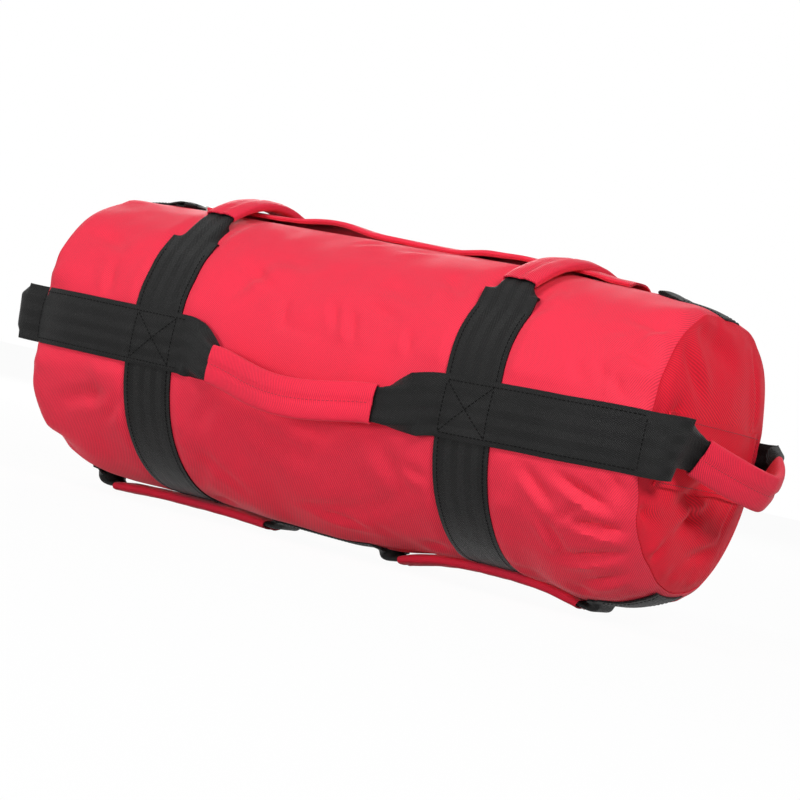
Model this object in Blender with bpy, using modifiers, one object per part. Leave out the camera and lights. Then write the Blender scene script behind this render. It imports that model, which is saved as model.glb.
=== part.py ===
"""Sandbag trainer: a zipped canvas tube with webbing straps and eight padded handles.

Metres, +Z up. The bag lies along X with its zip on top and its front strap towards -Y.
It stands on the flat undersides of the two bottom handles, at Z = 0.
"""

import math

import bmesh
import bpy
from mathutils import Vector

# The canvas tube
BAG_LENGTH = 0.600
BELLY_RADIUS = 0.127
SHOULDER_FALL = 0.013
SHOULDER_LENGTH = 0.060
CANVAS_THICKNESS = 0.0015
END_DOME = 0.010
SEAM_ALLOWANCE = 0.010
BINDING_THICKNESS = 0.0010
SEWN_GAP = 0.0003
TURNED_STEPS = 48
MERGE_DISTANCE = 0.00001
CREASE_ANGLE = math.radians(40)
shoulder_shares = (0, 0.42, 0.75, 1)
dome_shares = (1, 0.72, 0.4, 0)

# The patch under each end handle
PATCH_LENGTH = 0.186
PATCH_WIDTH = 0.058
PATCH_CELLS = 6
PATCH_SEAT = 0.0004

# Webbing and where it runs
WEBBING_WIDTH = 0.050
WEBBING_THICKNESS = 0.0016
BAND_SPACING = 0.314
STEP_LENGTH = 0.008
STEP_MARGIN = 0.002
TOP_LEG_ANGLE = math.radians(45)
FOLDED_WIDTH = 0.0275
FOLDED_THICKNESS = 0.005
LEG_STATIONS = 5
unfolded_share = 0.25
facet_share = 0.8

# Handle sleeves
SLEEVE_WIDTH = 0.0325
SLEEVE_THICKNESS = 0.0095
SLEEVE_END_THICKNESS = 0.0080
SLEEVE_CORNER = 0.0056
SLEEVE_TAPER = 0.010
CORE_CLEARANCE = 0.0004
MOUTH_GAP = 0.0005
round_out_share = 0.25
round_up_share = 0.62
bowed_shares = (-1, -0.6, -0.2, 0.2, 0.6, 1)
SIDE_SLEEVE_SPAN = 0.164
SIDE_MOUTH_OFFSET = 0.017
SIDE_MOUTH_DROP = 0.010
SIDE_BOW_OUT = 0.012
SIDE_BOW_DOWN = 0.012
FRONT_SLEEVE_SHIFT = -0.011
BACK_SLEEVE_SHIFT = 0.0
TOP_SLEEVE_SPAN = 0.130
TOP_MOUTH_DROP = 0.0073
TOP_BOW = 0.0235
BOTTOM_SLEEVE_SPAN = 0.172
BOTTOM_LOOP_LENGTH = 0.220
BOTTOM_SHIFT = -0.016
BOTTOM_STANDOFF = 0.0065
END_SLEEVE_SPAN = 0.150
END_MOUTH_REACH = 0.030
END_BOW = 0.030
END_DROOP = math.radians(35)
end_bulge_share = 1.8

# Zip, slider, flap and tabs
SLIT_LENGTH = 0.474
SLIT_WIDTH = 0.018
TAPE_LENGTH = 0.480
TAPE_REACH = 0.021
TAPE_THICKNESS = 0.0010
TEETH_WIDTH = 0.0022
TEETH_HEIGHT = 0.0024
TEETH_SPLIT = 0.0016
TEETH_CHAMFER = 0.0006
SLIDER_LENGTH = 0.014
SLIDER_WIDTH = 0.0095
SLIDER_PLATE = 0.0012
SLIDER_POST_WIDTH = 0.0010
SLIDER_POST_LENGTH = 0.004
SLIDER_CLEARANCE = 0.0003
SLIDER_REST = -0.229
LUG_GAP = 0.0056
LUG_THICKNESS = 0.0010
LUG_LENGTH = 0.0036
PIN_RADIUS = 0.0007
PIN_STEPS = 12
PIN_RISE = 0.0025
EYE_RADIUS = 0.0017
EYE_CLEARANCE = 0.0003
PULL_LENGTH = 0.024
PULL_WIDTH = 0.0050
PULL_THICKNESS = 0.0014
FLAP_LENGTH = 0.432
FLAP_HINGE_REACH = 0.026
FLAP_EDGE_REACH = 0.020
FLAP_CROWN = 0.0049
FLAP_EDGE_RISE = 0.0024
FLAP_THICKNESS = 0.0018
FLAP_FOLD_THICKNESS = 0.0020
flap_back_shares = (0.7, 0.3)
flap_front_shares = (0.35, 0.75)
flap_back_rise_share = 0.62
flap_front_rise_share = 1.1
TAB_LENGTH = 0.058
TAB_WIDTH = 0.040

# Filler bags
FILLER_SIDES = ("left", "middle", "right")
FILLER_END_ROOM = 0.048
FILLER_GAP = 0.003
FILLER_CLEARANCE = 0.0095
FILLER_SHOULDER = 0.028
FILLER_WALL = 0.0010
FILLER_STEPS = 20
NECK_RADIUS = 0.022
NECK_LENGTH = 0.026
CLOSURE_WIDTH = 0.016
CLOSURE_THICKNESS = 0.0024
SAND_LEVEL = 0.012
filler_arc_shares = (0, 0.35, 0.7, 1)

OVERRUN = 0.010
FACET = 2 * math.pi / TURNED_STEPS
HALF_LENGTH = BAG_LENGTH / 2
BELLY_HALF = HALF_LENGTH - SHOULDER_LENGTH
SEAM_RADIUS = BELLY_RADIUS - SHOULDER_FALL
TOP_MOUTH_HEIGHT = BELLY_RADIUS - TOP_MOUTH_DROP
BAND_X = BAND_SPACING / 2
AXIS_HEIGHT = BELLY_RADIUS + BOTTOM_STANDOFF + SLEEVE_THICKNESS
FILLER_ROOM = (BAG_LENGTH - 2 * FILLER_END_ROOM + FILLER_GAP) / len(FILLER_SIDES)
FILLER_LENGTH = FILLER_ROOM - FILLER_GAP - NECK_LENGTH
FILLER_RADIUS = BELLY_RADIUS - CANVAS_THICKNESS - FILLER_CLEARANCE
X, Y, Z = Vector((1, 0, 0)), Vector((0, 1, 0)), Vector((0, 0, 1))


# Scene and materials


def clear_scene():
    for old in list(bpy.data.objects):
        bpy.data.objects.remove(old)


def collection(name):
    made = bpy.data.collections.new(name)
    bpy.context.scene.collection.children.link(made)
    return made


def linear(share):
    return share / 12.92 if share <= 0.04045 else ((share + 0.055) / 1.055) ** 2.4


def material(name, hex_colour, roughness, metallic=0.0):
    made = bpy.data.materials.new(name)
    made.use_nodes = True
    shader = made.node_tree.nodes["Principled BSDF"]
    channels = [linear(int(hex_colour[i : i + 2], 16) / 255) for i in (0, 2, 4)]
    shader.inputs["Base Color"].default_value = (*channels, 1)
    shader.inputs["Roughness"].default_value = roughness
    shader.inputs["Metallic"].default_value = metallic
    made.diffuse_color = (*channels, 1)
    return made


def empty(name, place, parent=None):
    made = bpy.data.objects.new(name, None)
    made.location = place
    made.parent = parent
    PARTS.objects.link(made)
    return made


def add_object(name, mesh, finish, parent):
    made = bpy.data.objects.new(name, mesh)
    made.data.materials.append(finish)
    made.parent = parent
    PARTS.objects.link(made)
    return made


# Shared shapes


def bag_radius(x):
    """Outer radius of the canvas at x: straight along the belly, falling over the shoulders."""
    share = max(0, abs(x) - BELLY_HALF) / SHOULDER_LENGTH
    return BELLY_RADIUS - SHOULDER_FALL * share**2


def shoulder_places():
    return [BELLY_HALF + SHOULDER_LENGTH * share for share in shoulder_shares]


def dome_height(radius):
    return END_DOME * (1 - (radius / SEAM_RADIUS) ** 2)


def smooth(share):
    return share * share * (3 - 2 * share)


def skin(name, rings, open_ended=False):
    """A loft through rings of equally many points, capped, or joined last to first."""
    shell = bmesh.new()
    loops = [[shell.verts.new(point) for point in ring] for ring in rings]
    pairs = list(zip(loops, loops[1:]))
    if open_ended:
        pairs.append((loops[-1], loops[0]))
    else:
        shell.faces.new(loops[0])
        shell.faces.new(loops[-1])
    for first, second in pairs:
        for i in range(len(first)):
            j = (i + 1) % len(first)
            shell.faces.new((first[i], first[j], second[j], second[i]))
    bmesh.ops.recalc_face_normals(shell, faces=shell.faces)
    for face in shell.faces:
        face.smooth = True
    for edge in shell.edges:
        edge.smooth = edge.calc_face_angle(0) < CREASE_ANGLE
    mesh = bpy.data.meshes.new(name)
    shell.to_mesh(mesh)
    shell.free()
    return mesh


def turned(name, profile, finish, parent, steps=TURNED_STEPS, closed=False):
    """A profile of (x, radius) points turned about X. Where x falls along it, it faces outwards."""
    mesh = bpy.data.meshes.new(name)
    edges = [(i, i + 1) for i in range(len(profile) - 1)]
    if closed:
        edges.append((len(profile) - 1, 0))
    mesh.from_pydata([(x, 0, radius) for x, radius in profile], edges, [])
    made = add_object(name, mesh, finish, parent)
    screw = made.modifiers.new("Sweep", "SCREW")
    screw.axis = "X"
    screw.steps = steps
    screw.render_steps = steps
    screw.use_merge_vertices = True
    screw.merge_threshold = MERGE_DISTANCE
    return made


def band_profile(first, second, inner, outer):
    """A closed outline of a flat ring between two places along X, facing outwards."""
    low, high = sorted((first, second))
    return [(high, outer), (low, outer), (low, inner), (high, inner)]


def thicken(made, thickness):
    """Gives a sheet its wall, inwards from the face that it shows."""
    wall = made.modifiers.new("Wall", "SOLIDIFY")
    wall.thickness = thickness
    wall.offset = -1
    return made


def cut_box(name, low, high, parent):
    cutter = bmesh.new()
    bmesh.ops.create_cube(cutter, size=1)
    for vert in cutter.verts:
        vert.co = [a if c < 0 else b for a, b, c in zip(low, high, vert.co)]
    mesh = bpy.data.meshes.new(name)
    cutter.to_mesh(mesh)
    cutter.free()
    made = bpy.data.objects.new(name, mesh)
    made.parent = parent
    made.hide_render = True
    made.display_type = "WIRE"
    CUTTERS.objects.link(made)
    return made


def cut(made, cutter, operation="DIFFERENCE"):
    boolean = made.modifiers.new(cutter.name, "BOOLEAN")
    boolean.object = cutter
    boolean.operation = operation
    return made


# Canvas


def make_body_panel(parent):
    shoulders = shoulder_places()
    places = shoulders[::-1] + [-x for x in shoulders]
    profile = [(x, bag_radius(x)) for x in places]
    made = thicken(turned("body_panel", profile, RED, parent), CANVAS_THICKNESS)
    low = (-SLIT_LENGTH / 2, -SLIT_WIDTH / 2, BELLY_RADIUS - CANVAS_THICKNESS - OVERRUN)
    high = (SLIT_LENGTH / 2, SLIT_WIDTH / 2, BELLY_RADIUS + OVERRUN)
    cut(made, cut_box("zip_slit", low, high, parent))


def make_end_panel(side, sign, parent):
    rim = SEAM_RADIUS - CANVAS_THICKNESS - SEWN_GAP
    profile = [(sign * (HALF_LENGTH - SEAM_ALLOWANCE), rim)]
    profile += [(sign * (HALF_LENGTH + dome_height(rim * share)), rim * share) for share in dome_shares]
    made = turned("end_panel_" + side, profile[::-sign], RED_END, parent)
    thicken(made, CANVAS_THICKNESS)


def make_seam_binding(side, sign, parent):
    outer = SEAM_RADIUS - 2 * CANVAS_THICKNESS - 2 * SEWN_GAP
    inner = outer - BINDING_THICKNESS
    far = sign * (HALF_LENGTH - SEAM_ALLOWANCE)
    near = sign * (HALF_LENGTH - CANVAS_THICKNESS - SEWN_GAP - END_DOME * SEAM_ALLOWANCE / SEAM_RADIUS)
    turned("seam_binding_" + side, band_profile(near, far, inner, outer), BLACK, parent, closed=True)


def make_end_patch(side, sign, parent):
    grid = bmesh.new()
    bmesh.ops.create_grid(grid, x_segments=PATCH_CELLS, y_segments=PATCH_CELLS // 2, size=1)
    for vert in grid.verts:
        y, z = vert.co.x * PATCH_LENGTH / 2, vert.co.y * PATCH_WIDTH / 2
        lift = HALF_LENGTH + dome_height(math.hypot(y, z)) + PATCH_SEAT
        vert.co = (sign * lift, y, z)
    mesh = bpy.data.meshes.new("end_patch_" + side)
    grid.to_mesh(mesh)
    grid.free()
    made = add_object("end_patch_" + side, mesh, RED_END, parent)
    wall = made.modifiers.new("Wall", "SOLIDIFY")
    wall.thickness = CANVAS_THICKNESS
    wall.offset = sign


# Zip, flap and tabs


def make_zip_tape(side, sign, parent):
    outer = BELLY_RADIUS - CANVAS_THICKNESS - SEWN_GAP
    near = TEETH_SPLIT / 2 + TEETH_WIDTH + SEWN_GAP
    reaches = [near, outer * math.sin(FACET), TAPE_REACH]
    ends = (-TAPE_LENGTH / 2, TAPE_LENGTH / 2)
    rings = [arc_ring(x, outer - TAPE_THICKNESS, outer, reaches, sign) for x in ends]
    add_object("zip_tape_" + side, skin("zip_tape_" + side, rings), BLACK, parent)


def arc_ring(x, inner, outer, reaches, sign):
    """A ring across the crown of the bag, through points that far from the zip line."""
    under = [(x, sign * y, math.sqrt(inner**2 - y**2)) for y in reaches]
    over = [(x, sign * y, math.sqrt(outer**2 - y**2)) for y in reaches]
    return under + over[::-1]


def teeth_middle():
    return BELLY_RADIUS - CANVAS_THICKNESS - SEWN_GAP - TAPE_THICKNESS / 2


def make_zip_teeth(side, sign, parent):
    near, far = TEETH_SPLIT / 2, TEETH_SPLIT / 2 + TEETH_WIDTH
    low, high = teeth_middle() - TEETH_HEIGHT / 2, teeth_middle() + TEETH_HEIGHT / 2
    end = SLIT_LENGTH / 2 - SEWN_GAP
    rings = []
    for x in (-end, end):
        outline = [(near, low + TEETH_CHAMFER), (near + TEETH_CHAMFER, low), (far, low), (far, high)]
        outline += [(near + TEETH_CHAMFER, high), (near, high - TEETH_CHAMFER)]
        rings.append([(x, sign * y, z) for y, z in outline])
    add_object("zip_teeth_" + side, skin("zip_teeth_" + side, rings), BLACK, parent)


def box_mesh(shell, low, high):
    made = bmesh.ops.create_cube(shell, size=1)["verts"]
    for vert in made:
        vert.co = [a if c < 0 else b for a, b, c in zip(low, high, vert.co)]


def joined(name, pieces, finish, parent):
    """One body from overlapping pieces, each a function that fills an empty mesh."""
    base = None
    for number, piece in enumerate(pieces):
        shell = bmesh.new()
        piece(shell)
        mesh = bpy.data.meshes.new(name)
        shell.to_mesh(mesh)
        shell.free()
        if base is None:
            base = add_object(name, mesh, finish, parent)
            continue
        helper = bpy.data.objects.new(f"{name}_join_{number}", mesh)
        helper.parent = parent
        helper.hide_render = True
        helper.display_type = "WIRE"
        CUTTERS.objects.link(helper)
        cut(base, helper, "UNION")
    return base


def rod(shell, radius, length, centre):
    turn = bmesh.ops.create_cone(
        shell, cap_ends=True, segments=PIN_STEPS, radius1=radius, radius2=radius, depth=length
    )["verts"]
    for vert in turn:
        vert.co = Vector(centre) + Vector((vert.co.x, vert.co.z, vert.co.y))
    bmesh.ops.recalc_face_normals(shell, faces=shell.faces)


def slider_heights():
    """Undersides and tops of the slider's lower and upper plate, and its pin, above the bag's axis."""
    upper = teeth_middle() + TEETH_HEIGHT / 2 + SLIDER_CLEARANCE
    lower = teeth_middle() - TEETH_HEIGHT / 2 - SLIDER_CLEARANCE
    return lower - SLIDER_PLATE, lower, upper, upper + SLIDER_PLATE, upper + SLIDER_PLATE + PIN_RISE


def make_zip_slider(pivot):
    base, lower, upper, top, pin = [height - slider_heights()[4] for height in slider_heights()]
    half = SLIDER_LENGTH / 2
    side = SLIDER_WIDTH / 2
    sink = SLIDER_PLATE / 2
    ear = LUG_GAP / 2
    pieces = [
        lambda shell: box_mesh(shell, (-half, -side, upper), (half, side, top)),
        lambda shell: box_mesh(shell, (-half, -side, base), (half, side, lower)),
        lambda shell: box_mesh(
            shell,
            (-SLIDER_POST_LENGTH / 2, -SLIDER_POST_WIDTH / 2, base + sink),
            (SLIDER_POST_LENGTH / 2, SLIDER_POST_WIDTH / 2, top - sink),
        ),
    ]
    for sign in (-1, 1):
        ends = sorted((sign * ear, sign * (ear + LUG_THICKNESS)))
        pieces.append(
            lambda shell, ends=ends: box_mesh(
                shell,
                (-LUG_LENGTH / 2, ends[0], top - sink),
                (LUG_LENGTH / 2, ends[1], pin + 2 * PIN_RADIUS),
            )
        )
    pieces.append(lambda shell: rod(shell, PIN_RADIUS, LUG_GAP + LUG_THICKNESS, (0, 0, pin)))
    joined("zip_slider", pieces, METAL, pivot)


def make_zip_pull(pivot):
    bore = EYE_CLEARANCE + PIN_RADIUS
    half = PULL_WIDTH / 2
    low = (-PULL_LENGTH, -half, -PULL_THICKNESS / 2)
    high = (-bore - EYE_CLEARANCE, half, PULL_THICKNESS / 2)
    pieces = [
        lambda shell: rod(shell, EYE_RADIUS, PULL_WIDTH, (0, 0, 0)),
        lambda shell: box_mesh(shell, low, high),
    ]
    made = joined("zip_pull", pieces, METAL, pivot)
    shell = bmesh.new()
    rod(shell, bore, PULL_WIDTH + OVERRUN, (0, 0, 0))
    mesh = bpy.data.meshes.new("pull_bore")
    shell.to_mesh(mesh)
    shell.free()
    drill = bpy.data.objects.new("pull_bore", mesh)
    drill.parent = pivot
    drill.hide_render = True
    drill.display_type = "WIRE"
    CUTTERS.objects.link(drill)
    cut(made, drill)


def crown_height(y):
    return math.sqrt(BELLY_RADIUS**2 - y**2)


def flap_hinge():
    return Vector((0, FLAP_HINGE_REACH, crown_height(FLAP_HINGE_REACH) + SEWN_GAP))


def make_storm_flap(pivot):
    """The underside leaves the canvas at the back seam, clears the slider and ends above the front."""
    hinge = flap_hinge()
    back_far, back_near = [FLAP_HINGE_REACH * share for share in flap_back_shares]
    front_near, front_far = [FLAP_EDGE_REACH * share for share in flap_front_shares]
    under = [
        (FLAP_HINGE_REACH, hinge.z),
        (back_far, crown_height(back_far) + FLAP_CROWN * flap_back_rise_share),
        (back_near, BELLY_RADIUS + FLAP_CROWN),
        (-front_near, BELLY_RADIUS + FLAP_CROWN),
        (-front_far, crown_height(front_far) + FLAP_EDGE_RISE * flap_front_rise_share),
        (-FLAP_EDGE_REACH, crown_height(FLAP_EDGE_REACH) + FLAP_EDGE_RISE),
    ]
    over = [(y, z + FLAP_THICKNESS) for y, z in under[:-2]]
    over += [(y, z + FLAP_FOLD_THICKNESS) for y, z in under[-2:]]
    outline = under + over[::-1]
    rings = [[(x, y - hinge.y, z - hinge.z) for y, z in outline] for x in (-FLAP_LENGTH / 2, FLAP_LENGTH / 2)]
    add_object("storm_flap", skin("storm_flap", rings), RED, pivot)


def make_zip_tab(side, sign, parent):
    start = HALF_LENGTH - TAB_LENGTH
    places = [start] + [x for x in shoulder_places() if x > start]
    rings = []
    for x in places:
        radius = bag_radius(x) + SEWN_GAP + WEBBING_THICKNESS / 2
        centre = Vector((sign * x, 0, radius))
        rings.append(strip_ring(centre, Y, Z, TAB_WIDTH, WEBBING_THICKNESS, radius, 1))
    add_object("zip_tab_" + side, skin("zip_tab_" + side, rings), BLACK, parent)


# Webbing


def strip_ring(centre, across, outward, width, thickness, radius, crown):
    """A webbing section. With crown 1 it hugs a tube of that radius, and with crown 0 it is flat."""
    half = width / 2
    facet = min(radius * math.sin(FACET), half * facet_share)
    reaches = (-half, -facet, 0, facet, half)
    inside, outside = [], []
    for reach in reaches:
        drop = crown * (radius - math.sqrt(radius**2 - reach**2))
        middle = centre + across * reach - outward * drop
        inside.append(middle - outward * thickness / 2)
        outside.append(middle + outward * thickness / 2)
    return inside + outside[::-1]


def flat_ring(centre, across, outward, width, thickness):
    side, rise = across * width / 2, outward * thickness / 2
    return [centre - side - rise, centre + side - rise, centre + side + rise, centre - side + rise]


def leg_path(start, start_way, end, end_way, bulge, share):
    """A curve that leaves start along start_way, further with more bulge, and reaches end along end_way."""
    reach = (end - start).length
    a = 2 * share**3 - 3 * share**2 + 1
    b = share**3 - 2 * share**2 + share
    c = 3 * share**2 - 2 * share**3
    d = share**3 - share**2
    return start * a + start_way * reach * bulge * b + end * c + end_way * reach * d


def leg_stations(start, start_way, end, end_way, bulge):
    """Shares, points and directions along a leg, without its first point."""
    nudge_share = 1 / (4 * LEG_STATIONS)
    for step in range(1, LEG_STATIONS + 1):
        share = step / LEG_STATIONS
        here = leg_path(start, start_way, end, end_way, bulge, share)
        before = leg_path(start, start_way, end, end_way, bulge, share - nudge_share)
        yield share, here, (here - before).normalized()


def leg_frame(way, start_across, end_across, start_out, end_out, share):
    across = start_across.lerp(end_across, smooth(share))
    across = (across - way * across.dot(way)).normalized()
    outward = start_out.lerp(end_out, smooth(share))
    outward = outward - way * outward.dot(way)
    outward = (outward - across * outward.dot(across)).normalized()
    return across, outward


class Handle:
    """Where a handle's sleeve lies: its middle, the way along it, its flat side and its bow."""

    def __init__(self, centre, along, across, outward, bow, span):
        self.centre, self.along, self.across, self.outward = centre, along, across, outward
        self.bow, self.half = bow, span / 2

    def point(self, share):
        """A point of the middle line, from the pivot, with share from -1 to 1."""
        return self.along * self.half * share + self.bow * (1 - share**2)

    def slopes(self, share):
        """Bow per length along the sleeve, towards the outside and across it."""
        rise = self.bow * (-2 * share / self.half)
        return rise.dot(self.outward), rise.dot(self.across)

    def mouth(self, sign):
        return self.centre + self.along * sign * (self.half + MOUTH_GAP)

    def mouth_way(self, sign):
        """The direction in which webbing enters the sleeve at that end."""
        return (self.along * -sign + self.bow * 2 / self.half).normalized()

    def section_scales(self, share):
        out, side = self.slopes(share)
        return math.hypot(1, side), math.hypot(1, out)


def handle_leg(handle, sign, start, start_way, start_across, start_out, radius, bulge=1):
    """Rings of the webbing that leaves a strap and folds in half towards a sleeve's mouth."""
    rings = []
    end = handle.mouth(sign)
    way_in = handle.mouth_way(sign)
    wide, thick = handle.section_scales(sign)
    for share, here, way in leg_stations(start, start_way, end, way_in, bulge):
        fold = smooth(max(0, share - unfolded_share) / (1 - unfolded_share))
        width = WEBBING_WIDTH + (FOLDED_WIDTH - WEBBING_WIDTH) * fold
        thickness = WEBBING_THICKNESS + (FOLDED_THICKNESS - WEBBING_THICKNESS) * fold
        across, outward = leg_frame(way, start_across, handle.across, start_out, handle.outward, share)
        if share == 1:
            across, outward = handle.across, handle.outward
            width, thickness = width * wide, thickness * thick
        if radius:
            rings.append(strip_ring(here, across, outward, width, thickness, radius, 1 - fold))
        else:
            rings.append(flat_ring(here, across, outward, width, thickness))
    return rings


def mirrored_ring(handle, share, side):
    """A section square to the handle's axis, from the points of its one side."""
    outline = side + [(-across, -out) for across, out in side]
    middle = handle.point(share)
    return [middle + handle.across * across + handle.outward * out for across, out in outline]


def sleeve_ring(handle, share, thickness):
    """The outside of a sleeve: flat above and below, with round sides."""
    wide, thick = handle.section_scales(share)
    half, rise = SLEEVE_WIDTH / 2 * wide, thickness / 2 * thick
    flat = half - SLEEVE_CORNER
    bulge = half - SLEEVE_CORNER * round_out_share
    lift = rise * round_up_share
    side = [(flat, -rise), (bulge, -lift), (half, 0), (bulge, lift), (flat, rise)]
    return mirrored_ring(handle, share, side)


def bore_ring(handle, share):
    """The same ten points round the flat bore that holds the folded webbing."""
    wide, thick = handle.section_scales(share)
    half = (FOLDED_WIDTH / 2 + CORE_CLEARANCE) * wide
    rise = (FOLDED_THICKNESS / 2 + CORE_CLEARANCE) * thick
    flat = half - rise
    side = [(flat, -rise), (half, -rise), (half, 0), (half, rise), (flat, rise)]
    return mirrored_ring(handle, share, side)


def make_grip(name, handle, parent, shares):
    """The moving part of a handle: folded webbing inside a canvas sleeve, about its own pivot."""
    pivot = empty(name + "_pivot", handle.centre, parent)
    taper = 1 - SLEEVE_TAPER / handle.half
    stations = sorted({*shares, -taper, taper})
    core = []
    for share in stations:
        wide, thick = handle.section_scales(share)
        width, thickness = FOLDED_WIDTH * wide, FOLDED_THICKNESS * thick
        core.append(flat_ring(handle.point(share), handle.across, handle.outward, width, thickness))
    add_object(name + "_webbing", skin(name + "_webbing", core), BLACK, pivot)
    outer, inner = [], []
    for share in stations:
        thickness = SLEEVE_END_THICKNESS if abs(share) == 1 else SLEEVE_THICKNESS
        outer.append(sleeve_ring(handle, share, thickness))
        inner.append(bore_ring(handle, share))
    mesh = skin(name + "_sleeve", outer + inner[::-1], open_ended=True)
    add_object(name + "_sleeve", mesh, RED_SLEEVE, pivot)


def strap_lift(x):
    """How far a strap stands off the canvas at x: over a girth band it steps up by one layer."""
    past = abs(abs(x) - BAND_X) - WEBBING_WIDTH / 2 - STEP_MARGIN
    share = min(1, max(0, 1 - past / STEP_LENGTH))
    return share * (WEBBING_THICKNESS + SEWN_GAP)


def strap_radius(x):
    """Middle of a lengthwise strap's thickness, from the bag's axis."""
    return bag_radius(x) + strap_lift(x) + SEWN_GAP + WEBBING_THICKNESS / 2


def make_side_strap(face, side, sign, out, handle, end_handle, parent):
    """Webbing from a side handle, over a girth band and along the canvas, to an end handle."""
    root = BAND_X - WEBBING_WIDTH / 2
    over = BAND_X + WEBBING_WIDTH / 2 + STEP_MARGIN
    places = [root, over, over + STEP_LENGTH] + shoulder_places()
    points = [Vector((sign * x, 0, 0)) + out * strap_radius(x) for x in places]
    inner_leg = handle_leg(handle, sign, points[0], X * -sign, Z, out, strap_radius(root))
    rings = inner_leg[::-1]
    rings += [
        strip_ring(point, Z, out, WEBBING_WIDTH, WEBBING_THICKNESS, strap_radius(x), 1)
        for x, point in zip(places, points)
    ]
    fall = (points[-1] - points[-2]).normalized()
    toward = 1 if out.y > 0 else -1
    rings += handle_leg(
        end_handle, toward, points[-1], fall, Z, out, strap_radius(HALF_LENGTH), bulge=end_bulge_share
    )
    name = f"{face}_strap_{side}"
    add_object(name, skin(name, rings), BLACK, parent)


def make_girth_band(side, sign, handle, parent):
    """Webbing round the belly, whose two ends rise to the top handle."""
    radius = BELLY_RADIUS + SEWN_GAP + WEBBING_THICKNESS / 2
    middle = Vector((sign * BAND_X, 0, 0))
    steps = round((2 * math.pi - 2 * TOP_LEG_ANGLE) / FACET)
    rings = []
    for step in range(steps + 1):
        angle = TOP_LEG_ANGLE + (2 * math.pi - 2 * TOP_LEG_ANGLE) * step / steps
        out = Vector((0, -math.sin(angle), math.cos(angle)))
        rings.append(flat_ring(middle + out * radius, X, out, WEBBING_WIDTH, WEBBING_THICKNESS))
    legs = []
    for toward in (-1, 1):
        out = Vector((0, toward * math.sin(TOP_LEG_ANGLE), math.cos(TOP_LEG_ANGLE)))
        way = Vector((0, -toward * math.cos(TOP_LEG_ANGLE), math.sin(TOP_LEG_ANGLE)))
        legs.append(handle_leg(handle, toward, middle + out * radius, way, X, out, 0))
    rings = legs[0][::-1] + rings + legs[1]
    name = "girth_band_" + side
    add_object(name, skin(name, rings), BLACK, parent)


def bottom_strap_rings(places):
    down = -Z
    rings = []
    for x in places:
        radius = bag_radius(x) + SEWN_GAP + WEBBING_THICKNESS / 2
        rings.append(strip_ring(X * x + down * radius, Y, down, WEBBING_WIDTH, WEBBING_THICKNESS, radius, 1))
    return rings


def bottom_leg(handle, toward, x, way):
    radius = bag_radius(x) + SEWN_GAP + WEBBING_THICKNESS / 2
    return handle_leg(handle, toward, X * x - Z * radius, X * way, Y, -Z, radius)


def make_bottom_straps(left, right, parent):
    """The three stretches of the bottom strap that lie between and beyond the bottom handles."""
    low = bottom_place(-1) + BOTTOM_LOOP_LENGTH / 2
    high = bottom_place(1) - BOTTOM_LOOP_LENGTH / 2
    rings = bottom_leg(left, 1, low, -1)[::-1]
    rings += bottom_strap_rings((low, high))
    rings += bottom_leg(right, -1, high, 1)
    add_object("bottom_strap_middle", skin("bottom_strap_middle", rings), BLACK, parent)
    for side, sign, handle in (("left", -1, left), ("right", 1, right)):
        outer = abs(bottom_place(sign) + sign * BOTTOM_LOOP_LENGTH / 2)
        places = [outer] + [x for x in shoulder_places() if x > outer]
        rings = bottom_leg(handle, sign, sign * outer, -sign)[::-1]
        rings += bottom_strap_rings([sign * x for x in places])
        name = "bottom_strap_" + side
        add_object(name, skin(name, rings), BLACK, parent)


# Handles


def side_handle(out, shift):
    centre = X * shift + out * (BELLY_RADIUS + SIDE_MOUTH_OFFSET) - Z * SIDE_MOUTH_DROP
    bow = out * SIDE_BOW_OUT - Z * SIDE_BOW_DOWN
    return Handle(centre, X, Z, out, bow, SIDE_SLEEVE_SPAN)


def top_handle(sign):
    centre = X * sign * BAND_X + Z * TOP_MOUTH_HEIGHT
    return Handle(centre, Y, X, Z, Z * TOP_BOW, TOP_SLEEVE_SPAN)


def bottom_place(sign):
    return sign * BAND_X + BOTTOM_SHIFT


def bottom_handle(sign):
    depth = BELLY_RADIUS + BOTTOM_STANDOFF + SLEEVE_THICKNESS / 2
    return Handle(X * bottom_place(sign) - Z * depth, X, Y, -Z, Vector((0, 0, 0)), BOTTOM_SLEEVE_SPAN)


def end_handle(sign):
    out = Vector((sign * math.cos(END_DROOP), 0, -math.sin(END_DROOP)))
    across = Vector((sign * math.sin(END_DROOP), 0, math.cos(END_DROOP)))
    centre = X * sign * (HALF_LENGTH + END_MOUTH_REACH)
    return Handle(centre, Y, across, out, out * END_BOW, END_SLEEVE_SPAN)


# Filler bags


def filler_profile(length, radius, shoulder):
    """Half outline of a filler bag from its closed end, with round shoulders, as (x, radius)."""
    start, end = -length / 2, length / 2
    turns = [share * math.pi / 2 for share in filler_arc_shares]
    arc = [(1 - math.cos(turn), math.sin(turn)) for turn in turns]
    points = [(start, 0)]
    points += [(start + shoulder * in_share, radius - shoulder + shoulder * up_share) for in_share, up_share in arc]
    points += [
        (end - shoulder * in_share, radius - shoulder + shoulder * up_share) for in_share, up_share in arc[::-1]
    ]
    return points


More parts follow.
